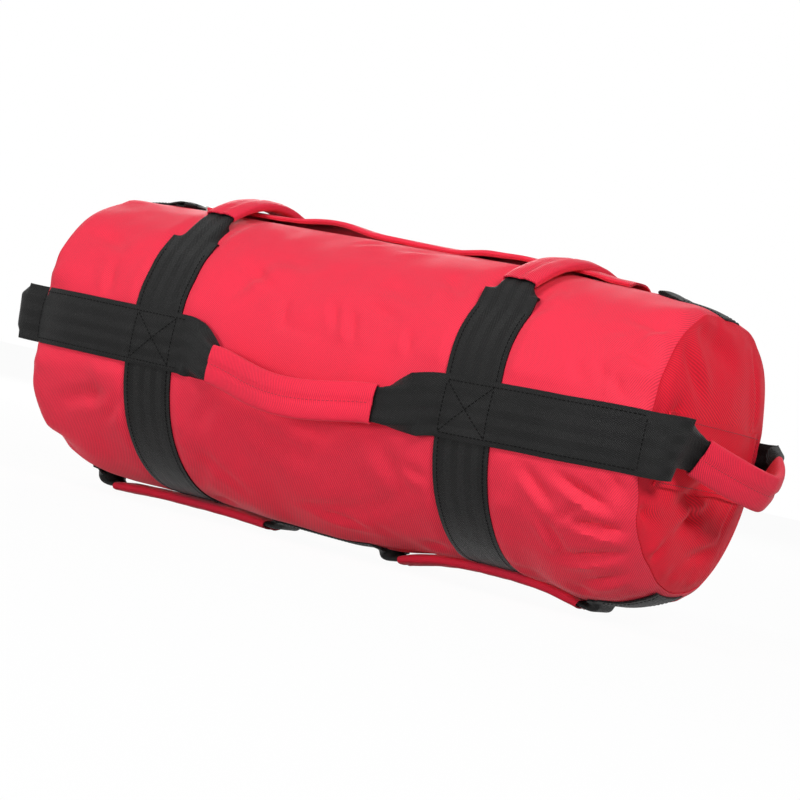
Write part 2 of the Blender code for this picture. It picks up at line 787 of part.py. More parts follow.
def make_filler(side, place, parent):
    wall = FILLER_WALL + SEWN_GAP
    drop = BELLY_RADIUS - CANVAS_THICKNESS - SEWN_GAP - FILLER_RADIUS
    centre = empty("filler_" + side, (place, 0, -drop), parent)
    profile = filler_profile(FILLER_LENGTH, FILLER_RADIUS, FILLER_SHOULDER)
    neck_end = FILLER_LENGTH / 2 + NECK_LENGTH
    profile += [(FILLER_LENGTH / 2, NECK_RADIUS), (neck_end, NECK_RADIUS)]
    pouch = turned("filler_bag_" + side, profile[::-1], LINER, centre, steps=FILLER_STEPS)
    thicken(pouch, FILLER_WALL)
    closure_middle = FILLER_LENGTH / 2 + NECK_LENGTH / 2
    near, far = closure_middle - CLOSURE_WIDTH / 2, closure_middle + CLOSURE_WIDTH / 2
    inner = NECK_RADIUS + SEWN_GAP
    outer = inner + CLOSURE_THICKNESS
    ring = band_profile(near, far, inner, outer)
    turned("filler_closure_" + side, ring, BLACK, centre, steps=FILLER_STEPS, closed=True)
    inside = filler_profile(FILLER_LENGTH - 2 * wall, FILLER_RADIUS - wall, FILLER_SHOULDER - wall)
    inside.append((FILLER_LENGTH / 2 - wall, 0))
    sand = turned("filler_sand_" + side, inside[::-1], SAND, centre, steps=FILLER_STEPS)
    low = (-FILLER_LENGTH / 2 - OVERRUN, -FILLER_RADIUS - OVERRUN, SAND_LEVEL)
    high = (FILLER_LENGTH / 2 + OVERRUN, FILLER_RADIUS + OVERRUN, FILLER_RADIUS + OVERRUN)
    cut(sand, cut_box("sand_top_" + side, low, high, centre))


# The whole bag


def make_zip(axis):
    for side, sign in (("front", -1), ("back", 1)):
        make_zip_tape(side, sign, axis)
        make_zip_teeth(side, sign, axis)
    pin = empty("zip_pin", (SLIDER_REST, 0, slider_heights()[4]), axis)
    make_zip_slider(pin)
    make_zip_pull(pin)
    make_storm_flap(empty("flap_hinge", flap_hinge(), axis))


def make_straps_and_handles(axis):
    ends = {"left": end_handle(-1), "right": end_handle(1)}
    tops = {"left": top_handle(-1), "right": top_handle(1)}
    bottoms = {"left": bottom_handle(-1), "right": bottom_handle(1)}
    for face, out, shift in (("front", -Y, FRONT_SLEEVE_SHIFT), ("back", Y, BACK_SLEEVE_SHIFT)):
        handle = side_handle(out, shift)
        for side, sign in (("left", -1), ("right", 1)):
            make_side_strap(face, side, sign, out, handle, ends[side], axis)
        make_grip(face + "_handle", handle, axis, bowed_shares)
    make_bottom_straps(bottoms["left"], bottoms["right"], axis)
    for side, sign in (("left", -1), ("right", 1)):
        make_girth_band(side, sign, tops[side], axis)
        make_grip(f"top_{side}_handle", tops[side], axis, bowed_shares)
        make_grip(f"bottom_{side}_handle", bottoms[side], axis, (-1, 1))
        make_grip(f"end_{side}_handle", ends[side], axis, bowed_shares)


def make_bag():
    axis = empty("bag_axis", (0, 0, AXIS_HEIGHT))
    make_body_panel(axis)
    for side, sign in (("left", -1), ("right", 1)):
        make_end_panel(side, sign, axis)
        make_seam_binding(side, sign, axis)
        make_end_patch(side, sign, axis)
        make_zip_tab(side, sign, axis)
    make_zip(axis)
    make_straps_and_handles(axis)
    first = -FILLER_ROOM * (len(FILLER_SIDES) - 1) / 2 - NECK_LENGTH / 2
    for number, side in enumerate(FILLER_SIDES):
        make_filler(side, first + FILLER_ROOM * number, axis)


clear_scene()
PARTS = collection("sandbag_trainer")
CUTTERS = collection("cutters")
RED = material("red canvas", "E8394E", 0.85)
RED_END = material("red canvas, end", "CD2B3A", 0.85)
RED_SLEEVE = material("red canvas, sleeve", "EC4459", 0.85)
BLACK = material("black webbing", "2A2A28", 0.7)
METAL = material("zip metal", "8A8A8C", 0.35, 1.0)
LINER = material("filler nylon", "3B3B3D", 0.6)
SAND = material("dry sand", "C2A878", 0.95)
make_bag()
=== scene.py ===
import random
from math import acos, atan2, copysign, cos, degrees, exp, hypot, pi, radians, sin, sqrt

import bpy
from mathutils import Matrix, Vector, noise


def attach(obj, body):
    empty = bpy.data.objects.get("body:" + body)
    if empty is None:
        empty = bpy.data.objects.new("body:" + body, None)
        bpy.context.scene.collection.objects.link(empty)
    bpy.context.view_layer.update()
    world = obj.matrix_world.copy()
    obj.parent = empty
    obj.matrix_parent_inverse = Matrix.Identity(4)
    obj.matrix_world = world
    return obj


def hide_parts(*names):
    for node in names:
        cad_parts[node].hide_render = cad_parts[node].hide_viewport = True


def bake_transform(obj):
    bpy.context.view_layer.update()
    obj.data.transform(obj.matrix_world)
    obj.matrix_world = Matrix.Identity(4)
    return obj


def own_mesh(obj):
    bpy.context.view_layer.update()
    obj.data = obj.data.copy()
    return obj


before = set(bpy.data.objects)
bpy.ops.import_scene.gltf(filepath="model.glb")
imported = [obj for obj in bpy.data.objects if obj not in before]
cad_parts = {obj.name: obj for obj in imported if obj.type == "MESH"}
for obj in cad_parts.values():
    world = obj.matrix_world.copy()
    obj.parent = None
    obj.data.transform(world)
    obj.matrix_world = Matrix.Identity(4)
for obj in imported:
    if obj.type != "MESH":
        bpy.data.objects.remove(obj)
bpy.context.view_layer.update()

# Studio: a pale floor under the bag, a soft sky all round and four soft lamps.
# The view is level with the middle of the bag, from the right of its front, and rolled.
AXIS = 0.143
X, Y, Z = Vector((1, 0, 0)), Vector((0, 1, 0)), Vector((0, 0, 1))
VIEW_TURN, VIEW_RISE, VIEW_ROLL = radians(31.19), radians(-0.01), radians(12.2)
VIEW_DISTANCE, VIEW_ASIDE, VIEW_ABOVE = 1.8863, -0.011, 0.0079
SENSOR, FOCAL_SHARE = 36, 2175.2 / 800
VIEW_END, SKY_LEVEL = 30, 0.15
FLOOR_SIZE, FLOOR_DROP = 14, 0.0004
PAPER_GREY, PAPER_GLOW, PAPER_SHARE = 0.55, 1.02, 0.94
scene = bpy.context.scene


def linear(hex_colour, share=1):
    """An sRGB hex value, made darker or lighter by a share, as the colour that a shader takes."""
    channels = [int(hex_colour[i : i + 2], 16) / 255 for i in (0, 2, 4)]
    bent = [c / 12.92 if c <= 0.04045 else ((c + 0.055) / 1.055) ** 2.4 for c in channels]
    return (*[min(c * share, 1) for c in bent], 1)


def wire(tree, node, inputs):
    """Sets a node's inputs, each to a value, a node's first output or an output."""
    for name, value in inputs.items():
        if isinstance(value, bpy.types.Node):
            value = value.outputs[0]
        if isinstance(value, bpy.types.NodeSocket):
            tree.links.new(value, node.inputs[name])
        else:
            node.inputs[name].default_value = value


def add(tree, kind, inputs=None, **settings):
    """Adds a node, with its settings and its inputs."""
    made = tree.nodes.new("ShaderNode" + kind)
    for name, value in settings.items():
        setattr(made, name, value)
    wire(tree, made, inputs or {})
    return made


def node_tree(owner):
    owner.use_nodes = True
    return owner.node_tree


def seen_directly(tree):
    """1 where the camera, a mirror or glass looks straight at the backdrop, and 0 for its light."""
    rays = add(tree, "LightPath").outputs
    direct = add(tree, "Math", {0: rays["Is Camera Ray"], 1: rays["Is Glossy Ray"]}, operation="MAXIMUM")
    return add(tree, "Math", {0: direct, 1: rays["Is Transmission Ray"]}, operation="MAXIMUM")


sky = bpy.data.worlds.new("soft studio sky")
tree = node_tree(sky)
tree.nodes.clear()
level = add(tree, "Math", {0: seen_directly(tree), 1: 1 - SKY_LEVEL, 2: SKY_LEVEL}, operation="MULTIPLY_ADD")
add(tree, "OutputWorld", {"Surface": add(tree, "Background", {"Color": (1, 1, 1, 1), "Strength": level})})
scene.world = sky

# Matt white backdrop paper: it shows as white, with only a faint shade of what stands on it.
paper = bpy.data.materials.new("white backdrop paper")
tree = node_tree(paper)
tree.nodes.clear()
matt = add(tree, "BsdfDiffuse", {"Color": (PAPER_GREY, PAPER_GREY, PAPER_GREY, 1)})
lit = add(tree, "Emission", {"Color": (1, 1, 1, 1), "Strength": PAPER_GLOW})
share = add(tree, "Math", {0: seen_directly(tree), 1: PAPER_SHARE}, operation="MULTIPLY")
add(tree, "OutputMaterial", {"Surface": add(tree, "MixShader", {0: share, 1: matt, 2: lit})})
bpy.ops.object.select_all(action="DESELECT")
bpy.ops.mesh.primitive_plane_add(size=FLOOR_SIZE, location=(0, 0, -FLOOR_DROP))
floor = bpy.context.object
floor.name = "floor"
floor.data.materials.append(paper)

for name, place, size, power in (
    ("key_lamp", (-0.6, -1.8, 2.4), 0.7, 25),
    ("front_lamp", (-0.2, -2.8, 0.2), 0.8, 36),
    ("side_lamp", (1.9, -1.3, 1.5), 0.7, 36),
    ("back_lamp", (-1.9, 2.2, 1.3), 1, 44),
):
    light = bpy.data.lights.new(name, "AREA")
    light.shape, light.size, light.energy = "SQUARE", size, power
    lamp = bpy.data.objects.new(name, light)
    lamp.location = place
    lamp.rotation_euler = (Z * AXIS - Vector(place)).to_track_quat("-Z", "Y").to_euler()
    scene.collection.objects.link(lamp)

back = Vector((sin(VIEW_TURN), -cos(VIEW_TURN), sin(VIEW_RISE))).normalized()
level_right = Vector((cos(VIEW_TURN), sin(VIEW_TURN), 0))
level_up = back.cross(level_right)
right = level_right * cos(VIEW_ROLL) + level_up * sin(VIEW_ROLL)
up = level_up * cos(VIEW_ROLL) - level_right * sin(VIEW_ROLL)
camera = bpy.data.objects.new("camera", bpy.data.cameras.new("camera"))
camera.data.sensor_width, camera.data.lens, camera.data.clip_end = SENSOR, SENSOR * FOCAL_SHARE, VIEW_END
camera.matrix_world = Matrix((right, up, back)).transposed().to_4x4()
camera.location = back * VIEW_DISTANCE - right * VIEW_ASIDE - up * VIEW_ABOVE + Z * AXIS
scene.collection.objects.link(camera)
scene.camera = camera
scene.view_settings.view_transform = "Standard"

# Body panel: one sheet of heavy polyester twill, rolled into the tube and slit for the zip.
# Sand fills it, so it bellies out between the straps, sags between the bottom handles and
# crumples where the straps hold it and towards the end seams.
SIDES = (("left", -1), ("right", 1))
HALF_LENGTH, BELLY_HALF = 0.3, 0.24
BELLY, CROWN, SEAM_RADIUS = 0.1275, 0.1268, 0.114
SEAM_PULL, SEAM_TUCK, SEAM_GROOVE = 0.0013, 0.0016, 0.0012
PUFF, CREASE_PRESS, CREASE_LIP = 0.0022, 1.3, 1.8
UNEVEN, UNEVEN_FINE, PUCKER, BODY_PUCKERS = 0.0026, 0.0011, 0.0016, 17
BAND_X, BAND_HALF, STRAP_TURN = 0.157, 0.025, radians(11.3)
BOTTOM_SHIFT, BOTTOM_FREE = -0.016, 0.112
CANVAS = 0.0015
SLIT_HALF_LENGTH, SLIT_TURN = 0.237, radians(4.06)
SLIT_CELLS, AROUND_CELLS, ALONG_CELLS = 4, 224, 200
# Turns in radians between which the crown flattens, the underside sags and the zip lets go.
CROWN_EASE, SAG_EASE, ZIP_EASE, CROWN_REACH = (0.5, 0.2), (1.7, 2.9), (0.16, 0.36), 0.85
SHOULDER_POWER = 2.4
WELD, CREASE_ANGLE = 0.00002, radians(42)
# How far the underside hangs down and the crown sinks, by the place along the bag, in mm.
sag_table = (
    (-300, 0), (-255, 1), (-215, 0.4), (-173, 0.4), (-125, 1), (-60, 5.5), (5, 6.2), (45, 3), (85, -2.6),
    (140, -5.4), (195, -3), (232, 3), (262, 2.4), (300, 0),
)
crown_table = ((150, 0), (205, 2.6), (232, 4), (262, 6.6), (300, 4))
# How far each end seam stands in or out of a true ring, in mm, by the turn in degrees.
seam_tables = {
    -1: (
        (-180, 3), (-130, 4), (-104, 1), (-90, 0), (-76, 1), (-40, 4), (0, 5), (20, 9), (45, 13), (60, 12.5),
        (70, 8), (78, 2), (90, 0), (98, 0), (104, 2), (110, 6.5), (120, 10.5), (134, 9), (146, 0), (162, 0),
        (180, 1),
    ),
    1: (
        (-180, -2), (-150, 2), (-112, 2), (-90, 0), (-72, 6), (-50, 9), (-30, 6), (-10, 0), (4, -1), (14, 3),
        (26, 9), (45, 10), (62, 7), (76, 1), (88, 0), (101, 0), (112, -4), (121, 0), (136, -3), (150, -6),
        (165, -4), (180, -2),
    ),
}
# How far each girth band lies from its place along the bag, in mm, by the turn in degrees.
band_tables = {
    -1: (
        (-180, -4.5), (0, -4.5), (40, -12.5), (52, -12), (66, -9.5), (90, -5.2), (130, -6.5), (165, -7),
        (180, -4.5),
    ),
    1: ((-180, -1.5), (0, -0.5), (35, -4.5), (62, -8), (90, -3), (130, -4.5), (165, -7), (180, -3)),
}
# Each crease: its place along and round the bag, its heading, half its length, its width and
# its depth. Lengths are in mm and angles in degrees.
placed_creases = [
    (-41, 70, 80, 18, 4, 1.9), (7, 66, 60, 20, 4, 2), (29, 70, 65, 24, 4.5, 2.2), (20, 84, 5, 24, 4, 1.9),
    (85, 72, 70, 18, 4, 1.8), (60, 52, 20, 34, 8, 2), (-90, 58, -60, 32, 8, 2.2), (-228, 69, 75, 22, 5, 2.2),
    (-250, 52, 20, 30, 7, 2.4), (-262, 84, 15, 22, 4, 1.4), (-238, 118, -20, 36, 7, 2.4),
    (-215, 100, 70, 18, 5, 1.8), (-85, 80, 20, 26, 6, 1.8), (-30, 88, 10, 30, 5, 1.6),
    (48, 61, 15, 26, 5, 1.8), (-60, 46, 5, 34, 8, 1.6), (272, 72, 55, 16, 4, 2.2),
    (256, 68, 62, 16, 3.6, 1.8), (286, 77, 50, 12, 3, 1.8), (236, 69, 70, 15, 4, 1.6),
    (283, 60, 20, 26, 5, 2), (272, 44, 10, 30, 7, 2.4), (262, 111, 26, 38, 4.2, 4.2),
    (272, 123, 10, 30, 3.8, 3.6), (262, 137, -12, 38, 5, 4.4), (266, 150, -25, 32, 5, 3.6),
    (224, 112, 42, 30, 5, 3), (236, 130, 62, 26, 5, 2.8), (284, 104, 70, 14, 3.4, 3),
    (250, 119, -38, 22, 3.6, 2.4), (90, 118, 60, 36, 9, 1.8), (-20, 118, 15, 50, 10, 2),
    (-96, 112, -50, 28, 7, 1.9), (40, 140, -20, 44, 10, 2),
]
LOOSE_CREASES = 70
chance = random.Random(23)
loose_ranges = ((-285, 285), (-165, 175), (-60, 60), (14, 42), (3.4, 8), (0.8, 2.4))
loose_creases = [tuple(chance.uniform(*ends) for ends in loose_ranges) for _ in range(LOOSE_CREASES)]


def metric(rows):
    """Crease tables in metres, with each heading as the run and the rise of its slope."""
    return [
        (a / 1000, b, cos(radians(heading)), sin(radians(heading)), *[size / 1000 for size in sizes])
        for a, b, heading, *sizes in rows
    ]


creases = [(x, radians(turn), *rest) for x, turn, *rest in metric(placed_creases + loose_creases)]


def pressed(ahead, aside, run, rise, length, width, depth):
    """How deep one crease presses the cloth at a point beside its middle, with its raised lip."""
    along, off = ahead * run + aside * rise, aside * run - ahead * rise
    if abs(along) >= length or abs(off) >= 4 * width:
        return 0
    lip = 0.5 * exp(-((off / width - CREASE_LIP) ** 2))
    return depth * (1 - (along / length) ** 2) ** 2 * (lip - exp(-((off / width) ** 2)))


def ease(value, low, high):
    """0 below low, 1 above high, and smooth between."""
    share = min(max((value - low) / (high - low), 0), 1)
    return share * share * (3 - 2 * share)


def swell(value, middle, reach):
    """1 at the middle, falling to 0 at that reach on both sides of it."""
    return 1 - ease(abs(value - middle), 0, reach)


def look_up(table, at):
    """A table's value at a place, eased between its rows."""
    if at <= table[0][0]:
        return table[0][1]
    for (x0, y0), (x1, y1) in zip(table, table[1:]):
        if at <= x1:
            return y0 + (y1 - y0) * ease(at, x0, x1)
    return table[-1][1]


def lumps(*place):
    """Smooth random unevenness between -1 and 1."""
    return noise.noise(Vector(place))


def wrapped(turn):
    return (turn + pi) % (2 * pi) - pi


def side_of(x):
    return -1 if x < 0 else 1


def spread(first, last, count):
    """Numbers from first to last, evenly spread in a count of steps."""
    return [first + (last - first) * step / count for step in range(count + 1)]


def band_place(side, turn):
    """Where a girth band runs along the bag: both were sewn on a little askew, more so in front."""
    return side * BAND_X + look_up(band_tables[side], degrees(turn)) / 1000


def held_down(x, turn):
    """1 under a band, side strap or bottom strap, and 0 on free canvas."""
    side = side_of(x)
    band = 1 - ease(abs(x - band_place(side, turn)), BAND_HALF - 0.002, BAND_HALF + 0.01)
    strap = 1 - ease(abs(abs(turn) - pi / 2), STRAP_TURN - 0.01, STRAP_TURN + 0.09)
    under = ease(abs(turn), pi - STRAP_TURN - 0.09, pi - STRAP_TURN + 0.01)
    under *= 1 - swell(x, BOTTOM_SHIFT + side * BAND_X, BOTTOM_FREE) ** 0.25
    return 1 - (1 - band) * (1 - strap) * (1 - under)


def seam_radius(side, turn):
    """Radius of an end seam, which the straps and the creases pull out of round."""
    return SEAM_RADIUS + SEAM_PULL + look_up(seam_tables[side], degrees(turn)) / 1000


def crown_drop(x):
    """How far the top of the bag sinks towards its right end, where the sand is low."""
    return look_up(crown_table, x * 1000) / 1000


def smooth_radius(x, turn):
    """The bag's outer radius without its wrinkles, which is what the straps lie on."""
    fall = max(0, abs(x) - BELLY_HALF) / (HALF_LENGTH - BELLY_HALF)
    radius = BELLY - (BELLY - seam_radius(side_of(x), turn)) * fall**SHOULDER_POWER
    radius -= (BELLY - CROWN) * ease(abs(turn), *CROWN_EASE) * (1 - fall)
    radius += look_up(sag_table, x * 1000) / 1000 * ease(abs(turn), *SAG_EASE)
    return radius - crown_drop(x) * swell(turn, 0, CROWN_REACH)


def wrinkles(x, turn):
    """How far free canvas stands in or out: its unevenness, creases and puckers by the seam."""
    total = UNEVEN * lumps(x * 14, sin(turn) * 2, cos(turn) * 2 + 5)
    total += UNEVEN_FINE * lumps(x * 38, sin(turn) * 5, cos(turn) * 5)
    for at, heading, run, rise, length, width, depth in creases:
        if abs(x - at) < length + 3 * width:
            aside = wrapped(turn - heading) * BELLY
            total += CREASE_PRESS * pressed(x - at, aside, run, rise, length, width, depth)
    drawn = ease(abs(x), 0.235, 0.298) * (1 - ease(abs(x), 0.294, 0.3))
    return total + PUCKER * drawn * sin(BODY_PUCKERS * turn + 5 * lumps(x * 9, turn * 1.3, 1))


def around(x, radius, turn, middle=AXIS):
    """A point of a ring about the bag: turn is from its top, positive towards the front."""
    return Vector((x, -radius * sin(turn), middle + radius * cos(turn)))


def on_bag(x, turn, rise=0):
    return around(x, smooth_radius(x, turn) + rise, turn)


def only(piece):
    bpy.ops.object.select_all(action="DESELECT")
    piece.select_set(True)
    bpy.context.view_layer.objects.active = piece


def on_all(piece, operator, **settings):
    """Runs an operator of edit mode on the whole of a piece."""
    only(piece)
    bpy.ops.object.mode_set(mode="EDIT")
    bpy.ops.mesh.select_all(action="SELECT")
    operator(**settings)
    bpy.ops.object.mode_set(mode="OBJECT")


def face_out(piece):
    on_all(piece, bpy.ops.mesh.normals_make_consistent, inside=False)


def cut_to(width, length):
    """A straight cut of cloth: where its corner at shares s and t lies on the flat roll."""
    return lambda s, t: (s * width, t * length)


def cloth(name, cells, cut, place):
    """A grid of cells, shaped as cloth: the corner at shares s and t goes to place(s, t).

    cut(s, t) is where that corner lies on the flat cloth, in metres, which its weave follows.
    """
    bpy.ops.object.select_all(action="DESELECT")
    bpy.ops.mesh.primitive_grid_add(x_subdivisions=cells[0], y_subdivisions=cells[1], size=2)
    piece = bpy.context.object
    piece.name = piece.data.name = name
    for corner in piece.data.uv_layers.active.data:
        corner.uv = cut(*corner.uv)
    for vert in piece.data.vertices:
        vert.co = place((vert.co.x + 1) / 2, (vert.co.y + 1) / 2)
    on_all(piece, bpy.ops.mesh.remove_doubles, threshold=WELD)
    return piece


def thicken(piece, thickness, offset=-1):
    """Gives cloth its thickness, inwards from the face that shows or to both sides of it."""
    only(piece)
    wall = piece.modifiers.new("Cloth", "SOLIDIFY")
    wall.thickness, wall.offset = thickness, offset
    bpy.ops.object.modifier_apply(modifier=wall.name)
    bpy.ops.object.shade_smooth_by_angle(angle=CREASE_ANGLE)
    return piece


def finish(piece, material, slot, body, *nodes):
    """Paints a piece, fixes it to a body given by name, bakes in the placing of one given a pair of bodies, and
    takes the place of its plain solids.
    """
    piece.data.materials.clear()
    piece.data.materials.append(material)
    if isinstance(body, str):
        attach(piece, body)
    else:
        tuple(body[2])
        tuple(body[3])
        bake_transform(piece)
    if nodes:
        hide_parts(*nodes)
    return piece


# 600 denier polyester twill, piece dyed red, with a thin coating inside: slanting ribs, drawn
# 1.5 mm apart so that they show, uneven yarns, a soft sheen and slightly faded high spots. The
# rib crests are painted lighter and the grooves between them darker: painted highlight and shade.
TWILL_PITCH, TWILL_SLOPE = 0.0015, radians(63)


def wave_scale(pitch):
    """The scale of a wave texture whose ribs lie a pitch apart, in metres."""
    return 2 * pi / (20 * pitch)


def coat(material, inputs):
    """Sets what a material's shader takes."""
    wire(material.node_tree, material.node_tree.nodes["Principled BSDF"], inputs)
    return material


def twill_canvas(name, colour, pitch=TWILL_PITCH, sheen=0.06):
    made = bpy.data.materials.new(name)
    tree = node_tree(made)
    flat = add(tree, "UVMap", uv_map="UVMap")
    solid = add(tree, "TexCoord").outputs["Object"]
    slanted = add(tree, "Mapping", {"Vector": flat, "Rotation": (0, 0, -TWILL_SLOPE)})
    waves = {"Vector": slanted, "Scale": wave_scale(pitch), "Distortion": 0.6, "Detail": 1}
    ribs = add(tree, "TexWave", waves)
    yarns = add(tree, "TexNoise", {"Vector": flat, "Scale": 1100, "Detail": 2})
    patches = add(tree, "TexNoise", {"Vector": solid, "Scale": 17, "Detail": 5, "Roughness": 0.6})
    relief = add(tree, "Math", {0: ribs.outputs["Fac"], 1: yarns.outputs["Fac"]}, operation="ADD")
    shade = add(tree, "MapRange", {"Value": relief, "From Min": 0.4, "From Max": 1.5})
    # Colour from 0.66 to 1.16 of the red by rib height and yarns: painted highlight on the crests, painted
    # shade between them, and uneven yarn tone.
    woven = add(tree, "MixRGB", {"Fac": shade, "Color1": linear(colour, 0.66), "Color2": linear(colour, 1.16)})
    fade = add(tree, "MapRange", {"Value": patches, "From Min": 0.35, "From Max": 0.7, "To Max": 0.35})
    worn = add(tree, "MixRGB", {"Fac": fade, "Color1": woven, "Color2": linear(colour, 1.22)})
    rough = {"Value": patches, "From Min": 0.3, "From Max": 0.7, "To Min": 0.6, "To Max": 0.78}
    rub = add(tree, "TexNoise", {"Vector": solid, "Scale": 65, "Detail": 3, "Roughness": 0.55})
    soft = add(tree, "Bump", {"Strength": 0.35, "Distance": 0.0012, "Height": rub})
    weave = add(tree, "Bump", {"Strength": 0.45, "Distance": 0.00028, "Height": relief, "Normal": soft})
    return coat(made, {
        "Base Color": worn, "Roughness": add(tree, "MapRange", rough), "Normal": weave,
        "Sheen Weight": sheen, "Sheen Roughness": 0.45, "Specular IOR Level": 0.22,
    })


BODY_RED = twill_canvas("red polyester twill canvas", "EA2F48", sheen=0.09)
# The ends take a deeper copy of the body red: painted shade for how the lamps light the ends.
END_SHADED_RED = twill_canvas("red polyester twill canvas, deeper for painted end shade", "EA1F37", sheen=0.03)
HANDLE_RED = twill_canvas("red polyester twill canvas of the handles", "E82844", sheen=0.1)


def body_place(s, t):
    """Across the slit in the first cells, then round the bag and back to the slit."""
    column = s * AROUND_CELLS
    if column <= SLIT_CELLS:
        turn = SLIT_TURN * (2 * column / SLIT_CELLS - 1)
    else:
        turn = SLIT_TURN + 2 * (pi - SLIT_TURN) * (column - SLIT_CELLS) / (AROUND_CELLS - SLIT_CELLS)
    turn, x = wrapped(turn), HALF_LENGTH * (2 * t - 1)
    free = (1 - held_down(x, turn)) * ease(abs(turn), *ZIP_EASE)
    free *= 1 - ease(abs(x), HALF_LENGTH - 0.011, HALF_LENGTH - 0.001)
    tucked = (SEAM_TUCK + SEAM_GROOVE) * ease(abs(x), HALF_LENGTH - 0.003, HALF_LENGTH)
    return on_bag(x, turn, (PUFF + wrinkles(x, turn)) * free - tucked)


body_cut = cut_to(2 * pi * BELLY, 2 * HALF_LENGTH)
body_panel = cloth("canvas_body", (AROUND_CELLS, ALONG_CELLS), body_cut, body_place)
bpy.ops.object.mode_set(mode="EDIT")
bpy.ops.mesh.select_all(action="DESELECT")
bpy.ops.object.mode_set(mode="OBJECT")
for face in body_panel.data.polygons:
    middle = face.center
    in_slit = abs(middle.y) < BELLY * sin(SLIT_TURN) and abs(middle.x) < SLIT_HALF_LENGTH
    if middle.z > AXIS and in_slit:
        face.select = True
bpy.ops.object.mode_set(mode="EDIT")
bpy.ops.mesh.delete(type="FACE")
bpy.ops.object.mode_set(mode="OBJECT")
thicken(body_panel, CANVAS)
finish(body_panel, BODY_RED, "canvas", "bag", "body_panel")


# End panels: discs of the same canvas, cut a little large and sewn in with the seam inside,
# so that their rims pucker. The load domes them, and folds run in from the seam. They take a
# deeper copy of the red, which paints the shade that falls on the ends.
RIM_INSIDE, FLANGE = 0.0021, 0.0098
END_DOME, END_KEEP = 0.014, 0.68
END_UNEVEN, END_PUCKER, END_PUCKERS = 0.0042, 0.0006, 23
END_AROUND, END_RINGS, FLANGE_RINGS = 216, 54, 4
# Each fold: its place behind and over the middle of the end, then as the creases above.
end_folds = {
    1: metric([
        (-25, -26, 20, 44, 8, 4.6), (-15, -50, 24, 36, 6, 5), (-18, -44, -40, 30, 5.5, 4.8),
        (18, -75, 12, 38, 6, 4.4), (-92, -50, -22, 30, 5.5, 4.6), (64, 62, 110, 54, 6, 4.4),
        (-24, 86, -16, 52, 10, 4.4), (-66, 63, -43, 40, 8, 4.6), (-58, -88, 60, 30, 5.5, 4.6),
        (56, -40, 60, 34, 7, 4), (-84, 20, 75, 28, 7, 3.4), (84, 10, 85, 34, 7, 3.6),
    ]),
    -1: metric([
        (-60, 60, 35, 40, 9, 3.4), (-80, -40, 20, 34, 7, 3.8), (-30, -80, -50, 34, 7, 3.6),
        (40, -70, 15, 36, 8, 3.4), (66, 50, -60, 40, 8, 3.6), (10, 78, 80, 26, 8, 3),
        (80, -20, 65, 32, 7, 3.2), (-90, 10, 80, 24, 6, 2.8),
    ]),
}


def rim(side, turn):
    """Radius at which an end panel turns into the bag, just inside the edge of the tube."""
    return seam_radius(side, wrapped(turn)) - SEAM_TUCK - RIM_INSIDE


def dome(side, y, z):
    """How far the end panel stands out at a point, with its folds."""
    turn = atan2(-y, z)
    share = min(hypot(y, z) / rim(side, turn), 1)
    free = 1 - ease(share, 0.9, 1)
    out = END_DOME * (1 - share**3.2)
    out += END_UNEVEN * free * lumps(y * 15, z * 15, 2 + side)
    for at, height, *fold in end_folds[side]:
        out += free * pressed(y - at, z - height / 1000, *fold)
    puckers = sin(END_PUCKERS * turn + 6 * lumps(turn * 1.5, side, 1))
    return out + END_PUCKER * ease(share, 0.8, 0.95) * free * puckers


def press_in(piece):
    """Gives a piece its own copy of its mesh."""
    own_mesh(piece)


for side, sign in SIDES:
    def place(s, t):
        ring, turn = t * END_RINGS, -2 * pi * s * sign
        edge = rim(sign, turn)
        if ring > END_RINGS - FLANGE_RINGS:
            back = (ring - END_RINGS + FLANGE_RINGS) / FLANGE_RINGS
            return around(sign * (HALF_LENGTH - FLANGE * back), edge, turn)
        flat = around(0, edge * sin(pi / 2 * ring / (END_RINGS - FLANGE_RINGS)), turn, 0)
        return flat + Vector((sign * (HALF_LENGTH + dome(sign, flat.y, flat.z)), 0, AXIS))

    def cut(s, t):
        return (SEAM_RADIUS * t * sin(2 * pi * s) + 0.2, SEAM_RADIUS * t * cos(2 * pi * s) + 0.2)

    piece = cloth("end_canvas_" + side, (END_AROUND, END_RINGS), cut, place)
    face_out(piece)
    thicken(piece, CANVAS)
    finish(piece, END_SHADED_RED, "end_canvas", "bag", "end_panel_" + side)
    press_in(piece)

# Sewing: bonded thread in single lines of lockstitch. Every stitch is a small rounded dash
# that sinks a little at both ends.
STITCH_PITCH, STITCH_HALF, STITCH_THICK = 0.0036, 0.0014, 0.0004
SHORTEST = 1e-7


def thread(name, colour, sheen=0.2, gloss=0.3):
    """Twisted polyester thread: fine slanting strands and a slight gloss."""
    made = bpy.data.materials.new(name)
    tree = node_tree(made)
    solid = add(tree, "TexCoord").outputs["Object"]
    waves = {"Vector": solid, "Scale": 420, "Distortion": 1}
    strands = add(tree, "TexWave", waves, bands_direction="DIAGONAL").outputs["Fac"]
    spun = add(tree, "MixRGB", {"Fac": strands, "Color1": linear(colour, 0.75), "Color2": linear(colour, 1.25)})
    relief = add(tree, "Bump", {"Strength": 0.3, "Distance": 0.0001, "Height": strands})
    return coat(made, {
        "Base Color": spun, "Roughness": 0.6, "Normal": relief,
        "Specular IOR Level": gloss, "Sheen Weight": sheen,
    })


# The red thread is darker than the red canvas it sews: painted shade of the groove each stitch sinks into.
GROOVE_SHADED_RED_THREAD = thread("red polyester thread darkened by painted groove shade", "A8162C")
# The black thread is darker than the black webbing it sews: painted shade of the stitch grooves.
GROOVE_SHADED_BLACK_THREAD = thread("black polyester thread darkened by painted groove shade", "020202", sheen=0, gloss=0.05)

